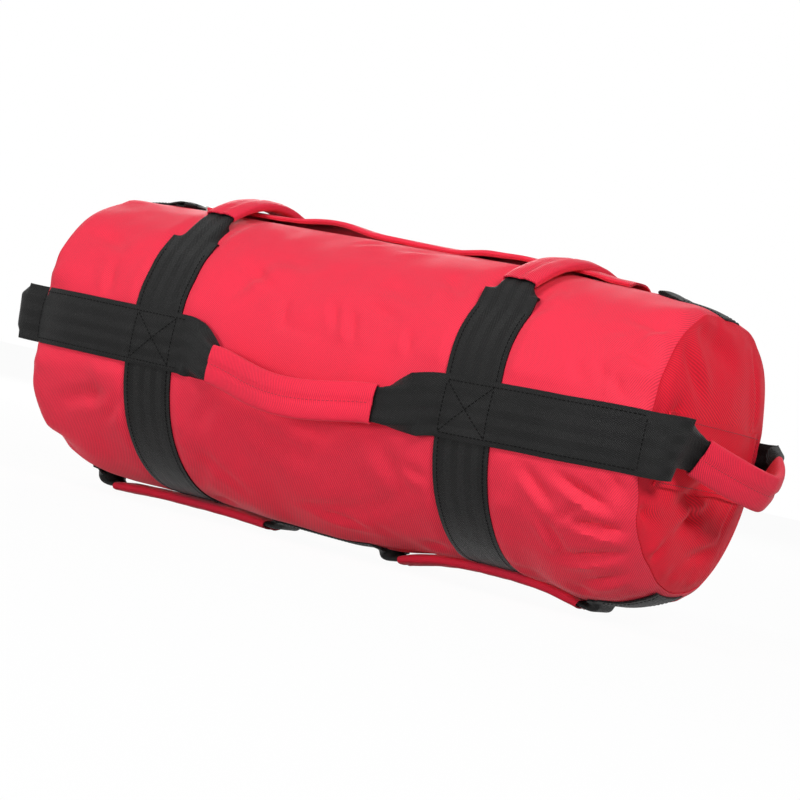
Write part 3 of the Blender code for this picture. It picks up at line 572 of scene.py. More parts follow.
bpy.ops.object.select_all(action="DESELECT")
bpy.ops.mesh.primitive_uv_sphere_add(segments=6, ring_count=5, radius=1)
dash = bpy.context.object
dash_verts = [vert.co.copy() for vert in dash.data.vertices]
dash_faces = [tuple(face.vertices) for face in dash.data.polygons]
bpy.data.objects.remove(dash)


def new_piece(name, verts, faces):
    """A piece from its points and faces, as the only one selected."""
    mesh = bpy.data.meshes.new(name)
    mesh.from_pydata(verts, [], faces)
    made = bpy.data.objects.new(name, mesh)
    scene.collection.objects.link(made)
    only(made)
    return made


def sew(name, lines, material, slot, body):
    """Stitches along lines, each a list of (point, direction out of the cloth)."""
    verts, faces = [], []
    for line in lines:
        carried = STITCH_PITCH / 2
        for (start, out), (end, _) in zip(line, line[1:]):
            step = end - start
            if step.length < SHORTEST:
                continue
            way = step.normalized()
            side = way.cross(out).normalized()
            high = side.cross(way)
            while carried <= step.length:
                middle = start + way * carried
                first = len(verts)
                for spot in dash_verts:
                    offset = way * (spot.z * STITCH_HALF) + side * (spot.x * STITCH_THICK)
                    verts.append(middle + offset + high * (spot.y * STITCH_THICK))
                faces.extend(tuple(first + i for i in face) for face in dash_faces)
                carried += STITCH_PITCH
            carried -= step.length
    made = new_piece(name, verts, faces)
    bpy.ops.object.shade_smooth()
    return finish(made, material, slot, body)


# End patches: a second layer of canvas with turned edges, sewn over the middle of each end,
# where the end handle rubs.
PATCH_HALF_LENGTH, PATCH_HALF_WIDTH = 0.093, 0.029
PATCH_SEAT, PATCH_HEM, PATCH_SEAM = 0.0003, 0.0007, 0.004
PATCH_CELLS, PATCH_STEPS = (80, 26), 24

for side, sign in SIDES:
    def spot(y, z, rise):
        hem = ease(max(abs(y) - PATCH_HALF_LENGTH, abs(z) - PATCH_HALF_WIDTH), -0.009, -0.003)
        out = HALF_LENGTH + dome(sign, y, z) + PATCH_SEAT + CANVAS + PATCH_HEM * hem + rise
        return Vector((sign * out, y, AXIS + z))

    def place(s, t):
        y, z = (2 * s - 1) * PATCH_HALF_LENGTH * sign, (2 * t - 1) * PATCH_HALF_WIDTH
        return spot(y + 0.0012 * sin(z * 160), z + 0.001 * sin(y * 75 + 1), 0)

    cut = cut_to(2 * PATCH_HALF_LENGTH, 2 * PATCH_HALF_WIDTH)
    piece = thicken(cloth("end_patch_canvas_" + side, PATCH_CELLS, cut, place), CANVAS + PATCH_SEAT)
    finish(piece, END_SHADED_RED, "end_canvas", "bag", "end_patch_" + side)
    flat = (2 * PATCH_HALF_WIDTH, 2 * PATCH_HALF_LENGTH)
    press_in(piece)
    length, width = PATCH_HALF_LENGTH - PATCH_SEAM, PATCH_HALF_WIDTH - PATCH_SEAM
    corners = [Vector((a * length, b * width)) for a, b in ((-1, -1), (1, -1), (1, 1), (-1, 1), (-1, -1))]
    line = []
    for corner, after in zip(corners, corners[1:]):
        for share in spread(0, 1, PATCH_STEPS)[:-1]:
            line.append((spot(*corner.lerp(after, share), 0.0001), X * sign))
    press_in(sew("end_patch_stitching_" + side, [line], GROOVE_SHADED_RED_THREAD, "end_canvas", "bag"))

# Seam binding: woven black tape folded over the raw edges of each end seam, inside the bag.
# It is 1 mm thick where it is folded, and puckers with the seam.
BINDING_NEAR, BINDING_FAR, BINDING_OUT = 0.2905, 0.2972, 0.1101
BINDING_FOLD, BINDING_WIDTH, BINDING_WALL, BINDING_CELLS = 0.001, 0.016, 0.0004, 150


def ribbed_tape(name, colour, pitch):
    """Woven polyester tape: fine cross ribs, matt, with a little lint, and painted highlight on the rib crests.
    """
    made = bpy.data.materials.new(name)
    tree = node_tree(made)
    flat = add(tree, "UVMap", uv_map="UVMap")
    waves = {"Vector": flat, "Scale": wave_scale(pitch), "Distortion": 0.4}
    ribs = add(tree, "TexWave", waves, bands_direction="Y").outputs["Fac"]
    lint = add(tree, "TexNoise", {"Vector": flat, "Scale": 700, "Detail": 3})
    tone = add(tree, "Math", {0: ribs, 1: lint.outputs["Fac"]}, operation="MULTIPLY")
    # Colour from 0.7 to 2 of the tape's by ribs and lint: painted highlight on the rib crests.
    woven = add(tree, "MixRGB", {"Fac": tone, "Color1": linear(colour, 0.7), "Color2": linear(colour, 2)})
    relief = add(tree, "Bump", {"Strength": 0.5, "Distance": 0.0002, "Height": ribs})
    return coat(made, {"Base Color": woven, "Roughness": 0.8, "Normal": relief, "Sheen Weight": 0.3})


BINDING_BLACK = ribbed_tape("black woven binding tape", "1C1C1E", 0.0012)
binding_outline = (
    (BINDING_NEAR, BINDING_OUT), (BINDING_FAR - 0.0008, BINDING_OUT),
    (BINDING_FAR, BINDING_OUT - BINDING_FOLD / 2), (BINDING_FAR - 0.0008, BINDING_OUT - BINDING_FOLD),
    (BINDING_NEAR, BINDING_OUT - BINDING_FOLD),
)

for side, sign in SIDES:
    last = len(binding_outline) - 1

    def place(s, t):
        turn = 2 * pi * t
        x, radius = binding_outline[round(s * last)]
        radius += rim(sign, turn) - SEAM_RADIUS + SEAM_TUCK + RIM_INSIDE
        return around(sign * x, radius + 0.0003 * sin(31 * turn) * ease(BINDING_FAR - x, 0, 0.004), turn)

    cut = cut_to(BINDING_WIDTH, 2 * pi * BINDING_OUT)
    piece = thicken(cloth("seam_binding_tape_" + side, (last, BINDING_CELLS), cut, place), BINDING_WALL, 0)
    finish(piece, BINDING_BLACK, "binding_tape", "bag", "seam_binding_" + side)

# Zip: a nylon coil zip. Two woven tapes are sewn under the edges of the slit, and each
# carries a coil whose loops hook into the other's.
TAPE_FACE, TAPE_WALL, TAPE_CELLS = 0.1252, 0.0006, (6, 160)
TAPE_NEAR, TAPE_FAR, TAPE_HALF_LENGTH = 0.0034, 0.021, 0.24
COIL_PITCH, COIL_HALF_LENGTH, COIL_SEAT = 0.0016, 0.236, 0.0005
COIL_ROD, COIL_SIDES = 0.00034, 5
TAPE_BLACK = ribbed_tape("black woven zip tape", "151517", 0.0009)


def moulded(name, colour, roughness, metallic, grain):
    """A smooth moulded, cast or plated surface with fine marks: bright edges of handling."""
    made = bpy.data.materials.new(name)
    tree = node_tree(made)
    solid = add(tree, "TexCoord").outputs["Object"]
    noises = {"Vector": solid, "Scale": grain, "Detail": 4, "Roughness": 0.65}
    marks = add(tree, "TexNoise", noises).outputs["Fac"]
    tone = add(tree, "MixRGB", {"Fac": marks, "Color1": linear(colour, 0.8), "Color2": linear(colour, 1.2)})
    gloss = add(tree, "MapRange", {"Value": marks, "To Min": roughness * 0.75, "To Max": roughness * 1.3})
    relief = add(tree, "Bump", {"Strength": 0.12, "Distance": 0.0001, "Height": marks})
    return coat(made, {"Base Color": tone, "Roughness": gloss, "Normal": relief, "Metallic": metallic})


COIL_NYLON = moulded("black nylon zip coil", "1A1A1C", 0.35, 0, 900)
ZIP_METAL = moulded("nickel plated zinc", "B4B4B0", 0.28, 1, 300)
# One loop of a coil: how far each bend lies from the middle of the zip, and its height.
coil_loop = (
    (0.0034, 0.001), (0.0016, 0.0012), (0.0006, 0.0004), (0.0006, -0.0004), (0.0016, -0.0012),
    (0.0034, -0.001),
)

for side, sign in (("front", -1), ("back", 1)):
    def place(s, t):
        x, y = TAPE_HALF_LENGTH * (2 * t - 1), TAPE_NEAR + (TAPE_FAR - TAPE_NEAR) * s
        out = sqrt(TAPE_FACE**2 - y * y) + 0.0002 * sin(x * 90) * (1 - s) - crown_drop(x)
        return Vector((x, sign * y, AXIS + out))

    cut = cut_to(TAPE_FAR - TAPE_NEAR, 2 * TAPE_HALF_LENGTH)
    tape = thicken(cloth("zip_tape_weave_" + side, TAPE_CELLS, cut, place), TAPE_WALL, 0)
    finish(tape, TAPE_BLACK, "zip_tape", "bag", "zip_tape_" + side)

    # Each loop of the coil is one bent rod, from the tape round the middle and back.
    verts, faces = [], []
    bends = len(coil_loop) - 1
    for number in range(int(2 * COIL_HALF_LENGTH / COIL_PITCH)):
        x = -COIL_HALF_LENGTH + (number + (0.25 if sign > 0 else 0.75)) * COIL_PITCH
        first = len(verts)
        for step, (y, z) in enumerate(coil_loop):
            lean = (step / bends - 0.5) * COIL_PITCH * 0.5
            centre = Vector((x + lean, sign * (y - 0.0008), AXIS + TAPE_FACE - COIL_SEAT + z - crown_drop(x)))
            outward = Vector((0, sign * (y - 0.0026), z)).normalized()
            for corner in range(COIL_SIDES):
                angle = 2 * pi * corner / COIL_SIDES
                verts.append(centre + (X * cos(angle) + outward * sin(angle)) * COIL_ROD)
        for step in range(bends):
            for corner in range(COIL_SIDES):
                a = first + step * COIL_SIDES + corner
                b = first + step * COIL_SIDES + (corner + 1) % COIL_SIDES
                faces.append((a, b, b + COIL_SIDES, a + COIL_SIDES))
        faces.append(tuple(first + i for i in reversed(range(COIL_SIDES))))
        faces.append(tuple(first + bends * COIL_SIDES + i for i in range(COIL_SIDES)))
    made = new_piece("zip_coil_" + side, verts, faces)
    face_out(made)
    bpy.ops.object.shade_smooth_by_angle(angle=CREASE_ANGLE)
    finish(made, COIL_NYLON, "zip_teeth", "bag", "zip_teeth_" + side)

for name in ("zip_slider", "zip_pull"):
    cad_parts[name].data.materials.clear()
    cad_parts[name].data.materials.append(ZIP_METAL)

# Storm flap: a strip of canvas folded double, its raw edges sewn down behind the zip. The
# fold is its free edge: it rolls a little, and bellies up between the top handles.
FLAP_HALF, FLAP_CUT, FLAP_LAYER = 0.216, 0.112, 0.0008
FLAP_HINGE, FLAP_BEND, FLAP_BASE = 0.026, 0.008, 0.127
# The under layer, from the seam to the fold: how far behind the zip it lies, and how high.
flap_under = (
    (0.034, 0.0006), (0.029, 0.0006), (0.026, 0.0007), (0.022, 0.002), (0.0182, 0.0034), (0.013, 0.0046),
    (0.0078, 0.0051), (0, 0.0052), (-0.007, 0.0052), (-0.0125, 0.0044), (-0.0165, 0.0034), (-0.0185, 0.0029),
    (-0.0196, 0.0029), (-0.0203, 0.0034), (-0.0203, 0.0042),
)
flap_count = len(flap_under)
flap_rows, flap_cells_along = 2 * flap_count + 3, 190
# How much higher or lower the flap bellies, by the place along the bag, in mm.
flap_table = ((-120, 1), (-80, 3.6), (-10, -2.2), (40, -3.6), (85, 0.4), (120, 1))


def flap_point(x, y, rise):
    """A point over the zip, from its distance behind the zip and its height over the crown."""
    return Vector((x, y, AXIS + sqrt(FLAP_BASE**2 - y * y) + rise - crown_drop(x)))


def flap_place(s, t):
    x, row = FLAP_HALF * (2 * t - 1), round(s * flap_rows)
    # The flap is free to belly up, but not where a top handle crosses it.
    free = ease(abs(abs(x) - BAND_X), 0.019, 0.045) * (1 - ease(abs(x), 0.19, FLAP_HALF))
    lift = free * (0.0012 * lumps(x * 22, 3, 1) + look_up(flap_table, x * 1000) / 1000)
    lift -= 0.0022 * ease(abs(x), 0.18, 0.2)
    swing = free * (0.002 * lumps(x * 15, 9, 2) + 0.0012)
    fold = 0.0016 + free * (0.0014 + 0.0012 * lumps(x * 30, 5, 5))
    if row < flap_count:
        (y, rise), over = flap_under[row], 0
    elif row > flap_rows - flap_count:
        (y, rise), over = flap_under[flap_rows - row], 1
    else:
        (y, rise), over = flap_under[-1], (row - flap_count + 1) / (flap_rows - 2 * flap_count + 2)
    forward = ease(-y, -FLAP_HINGE, 0.02)
    thick = FLAP_LAYER + 0.0003 + (fold - 0.0011) * ease(-y, 0.004, 0.019)
    y -= swing * forward + 0.5 * thick * sin(pi * over)
    rise += lift * forward + thick * (1 - cos(pi * over)) / 2 - 0.0003 * (1 - forward) * over
    return flap_point(x, y, rise)


flap = cloth("storm_flap_canvas", (flap_rows, flap_cells_along), cut_to(FLAP_CUT, 2 * FLAP_HALF), flap_place)
thicken(flap, FLAP_LAYER * 0.8, 0)
hinge = flap_point(0, FLAP_HINGE, 0)
flap_body = ("bag", "flap", (0, hinge.y + FLAP_BEND, hinge.z), (0, hinge.y - FLAP_BEND, hinge.z))
finish(flap, BODY_RED, "canvas", flap_body, "storm_flap")

# Webbing: 50 mm polyester webbing in herringbone, 1.6 mm thick. It lies flat on the bag, and
# towards a handle its edges are folded behind it to fit the sleeve.
WEB_HALF, WEB_THICK, WEB_GAP, WEB_EDGE = 0.025, 0.0016, 0.0011, 0.021
FLAT_HALF, BEND_LENGTH, FULL_FOLD = 0.0123, 0.0038, pi
THREAD_RISE = 0.0009
web_reaches = (0, 0.005, 0.0095, 0.0123, 0.0133, 0.0143, 0.0152, 0.0161, 0.0185, 0.0215, 0.0242, WEB_HALF)
STEP, LEG_STEP, LEG_STRETCH = 0.003, 0.0022, 1.15
# How far through its folding a leg's edges stand square to it, and where along it they lie flat.
SQUARE, FLAT = 0.8, 0.96
CHEVRON_HALF, CHEVRON_PITCH = 0.0062, 0.0021


def webbing(name, colour):
    """Herringbone webbing: zigzag rib columns 6 mm wide, slightly glossy filament yarn; painted highlight on
    rib crests.
    """
    made = bpy.data.materials.new(name)
    tree = node_tree(made)
    flat = add(tree, "UVMap", uv_map="UVMap")
    apart = add(tree, "SeparateXYZ", {0: flat}).outputs
    zigzag = add(tree, "Math", {0: apart["X"], 1: CHEVRON_HALF}, operation="PINGPONG")
    slanted = add(tree, "Math", {0: zigzag, 1: 1.3, 2: apart["Y"]}, operation="MULTIPLY_ADD")
    turned = add(tree, "Math", {0: slanted, 1: 2 * pi / CHEVRON_PITCH}, operation="MULTIPLY")
    ribs = add(tree, "Math", {0: turned}, operation="SINE")
    height = add(tree, "MapRange", {"Value": ribs, "From Min": -1, "From Max": 1})
    lint = add(tree, "TexNoise", {"Vector": flat, "Scale": 600, "Detail": 3})
    solid = add(tree, "TexCoord").outputs["Object"]
    dust = add(tree, "TexNoise", {"Vector": solid, "Scale": 22, "Detail": 4})
    tone = add(tree, "Math", {0: height, 1: lint.outputs["Fac"]}, operation="MULTIPLY")
    # Colour from 0.1 to 3.4 of the black by rib height and lint: painted highlight on the crests, painted shade
    # in the hollows.
    woven = add(tree, "MixRGB", {"Fac": tone, "Color1": linear(colour, 0.1), "Color2": linear(colour, 3.4)})
    grey = add(tree, "MapRange", {"Value": dust, "From Min": 0.45, "From Max": 0.8, "To Max": 0.3})
    worn = add(tree, "MixRGB", {"Fac": grey, "Color1": woven, "Color2": linear("262626")})
    waves = add(tree, "TexNoise", {"Vector": flat, "Scale": 26, "Detail": 2})
    soft = add(tree, "Bump", {"Strength": 0.5, "Distance": 0.004, "Height": waves})
    relief = add(tree, "Bump", {"Strength": 1, "Distance": 0.0006, "Height": tone, "Normal": soft})
    gloss = add(tree, "MapRange", {"Value": tone, "From Max": 0.6, "To Min": 0.75, "To Max": 0.36})
    return coat(made, {
        "Base Color": worn, "Roughness": gloss, "Normal": relief,
        "Specular IOR Level": 0.22, "Sheen Weight": 0.02, "Sheen Roughness": 0.4,
    })


WEB_BLACK = webbing("black polyester herringbone webbing", "090909")


def folded(reach, angle):
    """Where a point of the webbing lies, across and outwards, with its edges folded by angle."""
    if angle < 0.001 or reach <= FLAT_HALF:
        return reach, 0
    radius = BEND_LENGTH / angle
    bent = angle * min((reach - FLAT_HALF) / BEND_LENGTH, 1)
    rest = max(reach - FLAT_HALF - BEND_LENGTH, 0)
    across = FLAT_HALF + radius * sin(bent) + rest * cos(angle)
    return across, -radius * (1 - cos(bent)) - rest * sin(angle)


def web_spot(station, reach, rise=0):
    """A point of the webbing at a station (middle, across, outward, fold, curve)."""
    middle, across, outward, fold, curve = station
    wide, out = folded(abs(reach), fold)
    return middle + across * copysign(wide, reach) + outward * (out + rise - curve * wide * wide / 2)


def lay_webbing(name, stations, body, *nodes, reaches=web_reaches):
    """A piece of webbing through its stations, with the herringbone along its real length."""
    columns = [-reach for reach in reaches[:0:-1]] + list(reaches)
    lengths = [0]
    for before, after in zip(stations, stations[1:]):
        lengths.append(lengths[-1] + (after[0] - before[0]).length)
    middle = len(stations) // 2
    way = stations[middle][0] - stations[middle - 1][0]
    side = 1 if stations[middle][1].cross(way).dot(stations[middle][2]) > 0 else -1
    last_column, last_row = len(columns) - 1, len(stations) - 1

    def place(s, t):
        return web_spot(stations[round(t * last_row)], side * columns[round(s * last_column)])

    def cut(s, t):
        return (columns[round(s * last_column)] + 0.5, lengths[round(t * last_row)])

    piece = thicken(cloth(name, (last_column, last_row), cut, place), WEB_THICK, 0)
    finish(piece, WEB_BLACK, "webbing", body, *nodes)


def web_line(stations, reach_first, reach_last):
    """A sewing line along webbing, which may cross it from one reach to another."""
    reaches = spread(reach_first, reach_last, len(stations) - 1)
    return [(web_spot(station, reach, THREAD_RISE), station[2]) for station, reach in zip(stations, reaches)]


def edge_lines(stations, edge=WEB_EDGE):
    return [web_line(stations, reach, reach) for reach in (-edge, edge)]


class Handle:
    """Where a handle's sleeve lies: its middle, the way along it, its flat side and its bow."""

    def __init__(self, centre, along, across, outward, bow, span, sharp=2, flat=1):
        self.centre, self.along, self.across, self.outward = centre, along, across, outward
        self.bow, self.half, self.sharp, self.flat = bow, span / 2, sharp, flat

    def point(self, share):
        bowed = (1 - min(abs(share), 1) ** self.sharp) ** self.flat
        return self.centre + self.along * self.half * share + self.bow * bowed

    def frame(self, share):
        """The way along the sleeve, its flat side and its outward side at a share from -1 to 1."""
        ahead, behind = min(share + 0.01, 1), max(share - 0.01, -1)
        way = (self.point(ahead) - self.point(behind)).normalized()
        across = (self.across - way * self.across.dot(way)).normalized()
        outward = self.outward - way * self.outward.dot(way)
        return way, across, (outward - across * outward.dot(across)).normalized()


def bent_run(start, way, end, end_way, share):
    """A smooth run that leaves one place and reaches another in given ways, and its heading."""
    square, cube = share**2, share**3
    start_share = 2 * cube - 3 * square + 1
    place = start * start_share + way * (cube - 2 * square + share) + end * (1 - start_share)
    slope = (end - start) * (6 * share - 6 * square) + way * (3 * square - 4 * share + 1)
    return place + end_way * (cube - square), (slope + end_way * (3 * square - 2 * share)).normalized()


def leg_stations(start, way, across, outward, curve, handle, sign, bulge=1, end_bulge=1, unfolded=0.4):
    """Stations of the webbing that leaves a strap, folds and runs a little way into a sleeve."""
    end = handle.point(sign)
    along, end_across, end_outward = handle.frame(sign)
    reach = (end - start).length
    way, end_way = way * (reach * bulge), along * (-sign * reach * end_bulge)
    stations = []
    for share in spread(0, 1, max(8, round(reach * LEG_STRETCH / LEG_STEP)))[1:]:
        here, heading = bent_run(start, way, end, end_way, share)
        turned = ease(share, 0, 1)
        side = across.lerp(end_across, turned)
        side = (side - heading * side.dot(heading)).normalized()
        out = outward.lerp(end_outward, turned)
        out = out - heading * out.dot(heading)
        out = (out - side * out.dot(side)).normalized()
        narrow = min(max((share - unfolded) / (FLAT - unfolded), 0), 1)
        over = max(narrow - SQUARE, 0) / (1 - SQUARE)
        fold = acos(1 - min(narrow / SQUARE, 1)) + (FULL_FOLD - pi / 2) * over
        stations.append((here, side, out, fold, curve * (1 - ease(share, 0, 0.6))))
    for step in (0.002, 0.004, 0.006):
        share = sign * (1 - step / handle.half)
        stations.append((handle.point(share), *handle.frame(share)[1:], FULL_FOLD, 0))
    return stations


# Handle sleeves: a strip of canvas wrapped round the folded webbing, its edge lapped and sewn
# down along the middle of the outer face. It is padded by the layers inside.
SLEEVE_HALF_WIDTH, SLEEVE_HALF_THICK, SLEEVE_END_THICK = 0.01625, 0.00475, 0.0041
SLEEVE_WALL, SLEEVE_CUT, SLEEVE_CELLS = 0.0012, 0.084, (44, 74)
SLEEVE_SEAM, CORE_INSIDE = 0.003, 0.0066
SIDE_OUT, SIDE_SPANS = 0.144, {-1: 0.165, 1: 0.164}
TOP_RISE, TOP_SPAN, TOP_TILT, TOP_FALL = 0.1193, 0.13, 8.2, 0.62
BOTTOM_SPAN, END_OUT, END_SPAN = 0.172, 0.33, 0.15
END_DROOP, END_BOW, END_LEAN = radians(30), 0.0335, 0.4


def sleeve_spot(handle, share, angle, rise=0):
    """A point of the sleeve's outside: angle 0 is the middle of its outer face."""
    way, across, outward = handle.frame(share)
    end = ease(abs(share), 1 - 0.012 / handle.half, 1)
    thick = SLEEVE_HALF_THICK + (SLEEVE_END_THICK - SLEEVE_HALF_THICK) * end + rise
    outer, aside = cos(angle), sin(angle)
    a = copysign(abs(aside) ** 0.78, aside) * (SLEEVE_HALF_WIDTH + rise)
    b = copysign(abs(outer) ** 0.62, outer) * thick
    if outer > 0:
        b -= 0.001 * exp(-((a / 0.002) ** 2)) * (1 - 0.5 * end)
        b += 0.00045 * ease(a, 0.0002, 0.0012) * (1 - ease(a, 0.006, 0.012))
    uneven = lumps(share * handle.half * 90, a * 110, b * 60 + handle.centre.x * 9)
    b += 0.00035 * uneven * (1 - end) * (1 if outer > 0 else -1)
    return handle.point(share) + across * a + outward * b, outward


def make_sleeve(name, handle):
    def place(s, t):
        return sleeve_spot(handle, 2 * t - 1, 2 * pi * s)[0]

    piece = cloth(name + "_sleeve_canvas", SLEEVE_CELLS, cut_to(SLEEVE_CUT, 2 * handle.half), place)
    face_out(piece)
    thicken(piece, SLEEVE_WALL)
    finish(piece, HANDLE_RED, "sleeve_canvas", name, name + "_sleeve")
    sewn, inside = 1 - SLEEVE_SEAM / handle.half, 1 - CORE_INSIDE / handle.half
    line = [sleeve_spot(handle, share, 0, -0.0001) for share in spread(-sewn, sewn, 60)]
    sew(name + "_sleeve_stitching", [line], GROOVE_SHADED_RED_THREAD, "sleeve_canvas", name)
    shares = spread(-inside, inside, 40)
    core = [(handle.point(share), *handle.frame(share)[1:], FULL_FOLD, 0) for share in shares]
    lay_webbing(name + "_core_webbing", core, name, name + "_webbing")


def side_handle(x, drop, out, tilt, bow):
    """A front or back handle, in the middle of its side, whose bow hangs a little."""
    centre = X * x + Y * (out * SIDE_OUT) + Z * (AXIS - drop)
    return Handle(centre, (X - Z * tilt).normalized(), Z, Y * out, bow, SIDE_SPANS[out], flat=1.8)


def top_handle(middle, askew, rise, forward=0):
    """A top handle, whose front end may lie further down the bag than its back end."""
    along = (Y + X * askew + Z * (forward * TOP_TILT)).normalized()
    centre = X * middle - Y * forward + Z * (AXIS + TOP_RISE - forward * TOP_FALL)
    return Handle(centre, along, X, Z, Z * rise, TOP_SPAN + 2 * forward)


def bottom_handle(sign, squeezed, raised):
    """The sleeve lies on the floor at both ends, and the belly squeezes its middle up."""
    middle = X * (BOTTOM_SHIFT + sign * BAND_X) + Z * (SLEEVE_HALF_THICK + raised)
    along = (X + Z * (2 * raised / BOTTOM_SPAN)).normalized()
    return Handle(middle, along, Y, -Z, Z * squeezed, BOTTOM_SPAN, sharp=2.6)


def end_handle(sign):
    """The loop droops and is bent sharply, and its flat side stays upright."""
    out = X * (sign * cos(END_DROOP)) - Z * sin(END_DROOP)
    across = (X * (sign * END_LEAN) + Z).normalized()
    middle = X * (sign * END_OUT) + Z * AXIS
    return Handle(middle, Y, across, X * sign, out * END_BOW, END_SPAN, sharp=1.5)


handles = {
    "front_handle": side_handle(-0.0035, 0.0112, -1, 0.022, Vector((0, -0.012, -0.011))),
    "back_handle": side_handle(0, 0.01, 1, 0, Vector((0, 0.012, -0.012))),
    "top_left_handle": top_handle(-0.1625, 0.06, 0.0212),
    "top_right_handle": top_handle(0.158, 0.085, 0.0212, 0.01),
    "bottom_left_handle": bottom_handle(-1, 0.003, 0),
    "bottom_right_handle": bottom_handle(1, 0.01, 0.0009),
    "end_left_handle": end_handle(-1),
    "end_right_handle": end_handle(1),
}
for name, handle in handles.items():
    make_sleeve(name, handle)

# Girth bands: webbing sewn round the belly under the other straps. Both ends rise off the
# bag near the top and fold into the top handle.
BAND_LEAVES = radians(51)
BAND_BLEND = (0.233, 0.262)

for side, sign in SIDES:
    name = f"top_{side}_handle"
    belt = []
    for turn in spread(BAND_LEAVES, 2 * pi - BAND_LEAVES, round(2 * (pi - BAND_LEAVES) * BELLY / STEP)):
        turn = wrapped(turn)
        belt.append((on_bag(band_place(sign, turn), turn, WEB_GAP), X, around(0, 1, turn, 0), 0, 0))
    unfolded = 0.3 if sign < 0 else 0.6
    legs = []
    for toward, start in ((-1, belt[0]), (1, belt[-1])):
        way = Z * sin(BAND_LEAVES) - Y * (toward * cos(BAND_LEAVES))
        legs.append(leg_stations(start[0], way, X, start[2], 0, handles[name], toward, unfolded=unfolded))
    low, high = [(sign * BAND_X, 0, height) for height in BAND_BLEND]
    stations = legs[0][::-1] + belt + legs[1]
    lay_webbing("girth_band_webbing_" + side, stations, ("bag", name, low, high), "girth_band_" + side)
    sew("girth_band_stitching_" + side, edge_lines(belt), GROOVE_SHADED_BLACK_THREAD, "webbing", "bag")

# Front and back straps: webbing along the bag, sewn over the girth bands with a crossed box.
# Inwards each runs into the side handle, and outwards over the end seam to the end handle.
BOX_HALF, BOX_STEPS = 0.0205, 12
SPLIT_X, SEAM_DIP = 0.132, 0.0012
BACK_TURN, PROBE = -radians(91), 0.001
# The turn in degrees at which the front straps lie, by the place along the bag in mm.
strap_turn_table = ((-300, 89), (-132, 89.2), (132, 91), (220, 90.2), (300, 89.4))


def strap_rise(x, turn):
    """The straps climb over the girth bands, and are drawn in where an end seam catches them."""
    aside = abs(x - band_place(side_of(x), turn))
    over_band = WEB_THICK * (1 - ease(aside, BAND_HALF, BAND_HALF + 0.008))
    return WEB_GAP + over_band - SEAM_DIP * swell(abs(x), HALF_LENGTH - 0.001, 0.005)


def on_strap(x, turn):
    return on_bag(x, turn, strap_rise(x, turn))


for face, side, sign in [(face, *side) for face in ("front", "back") for side in SIDES]:
    front = face == "front"
    out = -Y if front else Y
    box_middle = sign * band_place(sign, pi / 2 if front else BACK_TURN)
    curve = 1 / BELLY
    flat = []
    for x in spread(SPLIT_X, HALF_LENGTH, round((HALF_LENGTH - SPLIT_X) / STEP)):
        turn = radians(look_up(strap_turn_table, sign * x * 1000)) if front else BACK_TURN
        along = (on_strap(sign * (x + PROBE), turn) - on_strap(sign * (x - PROBE), turn)).normalized()
        flat.append((on_strap(sign * x, turn), Z, (out - along * out.dot(along)).normalized(), 0, curve))
    unfolded = (0.2 if sign < 0 else 0.56) if front else 0.3
    way = (X * sign + out * (0.1 if front and sign < 0 else -0.12)).normalized()
    ending = leg_stations(
        flat[-1][0], way, Z, flat[-1][2], curve, handles[f"end_{side}_handle"], -1 if front else 1,
        bulge=3.2 if sign < 0 else 2.3, end_bulge=1.2, unfolded=unfolded,
    )
    name = f"{face}_strap_{side}"
    body = ("bag", f"end_{side}_handle", (sign * HALF_LENGTH, 0, AXIS), (sign * END_OUT, 0, AXIS))
    lay_webbing(f"{face}_strap_webbing_{side}", flat + ending, body, name)

    def nearest(x):
        return min(range(len(flat)), key=lambda number: abs(abs(flat[number][0].x) - x))

    box_first, box_last = nearest(box_middle - BOX_HALF), nearest(box_middle + BOX_HALF)
    box = flat[box_first : box_last + 1]
    lines = edge_lines(flat) + [web_line(box, reach, -reach) for reach in (-BOX_HALF, BOX_HALF)]
    for station in (box[0], box[-1], flat[-1]):
        lines.append(web_line([station] * (BOX_STEPS + 1), -BOX_HALF, BOX_HALF))
    sew(f"{face}_strap_stitching_{side}", lines, GROOVE_SHADED_BLACK_THREAD, "webbing", body)
    handle, unfolded = handles[f"{face}_handle"], 0.26 if sign < 0 else 0.42
    inner = leg_stations(flat[0][0], X * -sign, Z, out, curve, handle, sign, unfolded=unfolded)
    body = ("bag", f"{face}_handle", (sign * SPLIT_X, 0, 0), (handle.point(sign).x, 0, 0))
    lay_webbing(f"{face}_strap_leg_{side}", [flat[0]] + inner, body, name)

# Bottom straps: webbing along the underside in stretches between and beyond the two bottom
# handles. Each end by a handle drops off the bag and folds into its sleeve.
BOTTOM_LEG, BOTTOM_END = 0.11, 0.2985


def make_bottom_strap(name, node, far, handle_name, sign):
    """Webbing from a place on the bag to the end of a bottom handle on its side sign."""
    handle = handles[handle_name]
    near = handle.centre.x + sign * BOTTOM_LEG
    places = spread(far, near, max(2, round(abs(near - far) / STEP)))
    flat = [(on_strap(x, pi), Y, -Z, 0, 1 / BELLY) for x in places]
    leg = leg_stations(flat[-1][0], X * -sign, Y, -Z, 1 / BELLY, handle, sign, end_bulge=3.2, unfolded=0.2)
    body = ("bag", handle_name, (near, 0, 0), (handle.point(sign).x, 0, 0))
    lay_webbing(name, flat + leg, body, node)
    sew(name + "_stitching", edge_lines(flat), GROOVE_SHADED_BLACK_THREAD, "webbing", body)


for side, sign in SIDES:
    name = "bottom_strap_webbing_" + side
    make_bottom_strap(name, "bottom_strap_" + side, sign * BOTTOM_END, f"bottom_{side}_handle", sign)
for side, sign in SIDES:
    name = "bottom_strap_middle_" + side
    make_bottom_strap(name, "bottom_strap_middle", BOTTOM_SHIFT, f"bottom_{side}_handle", -sign)

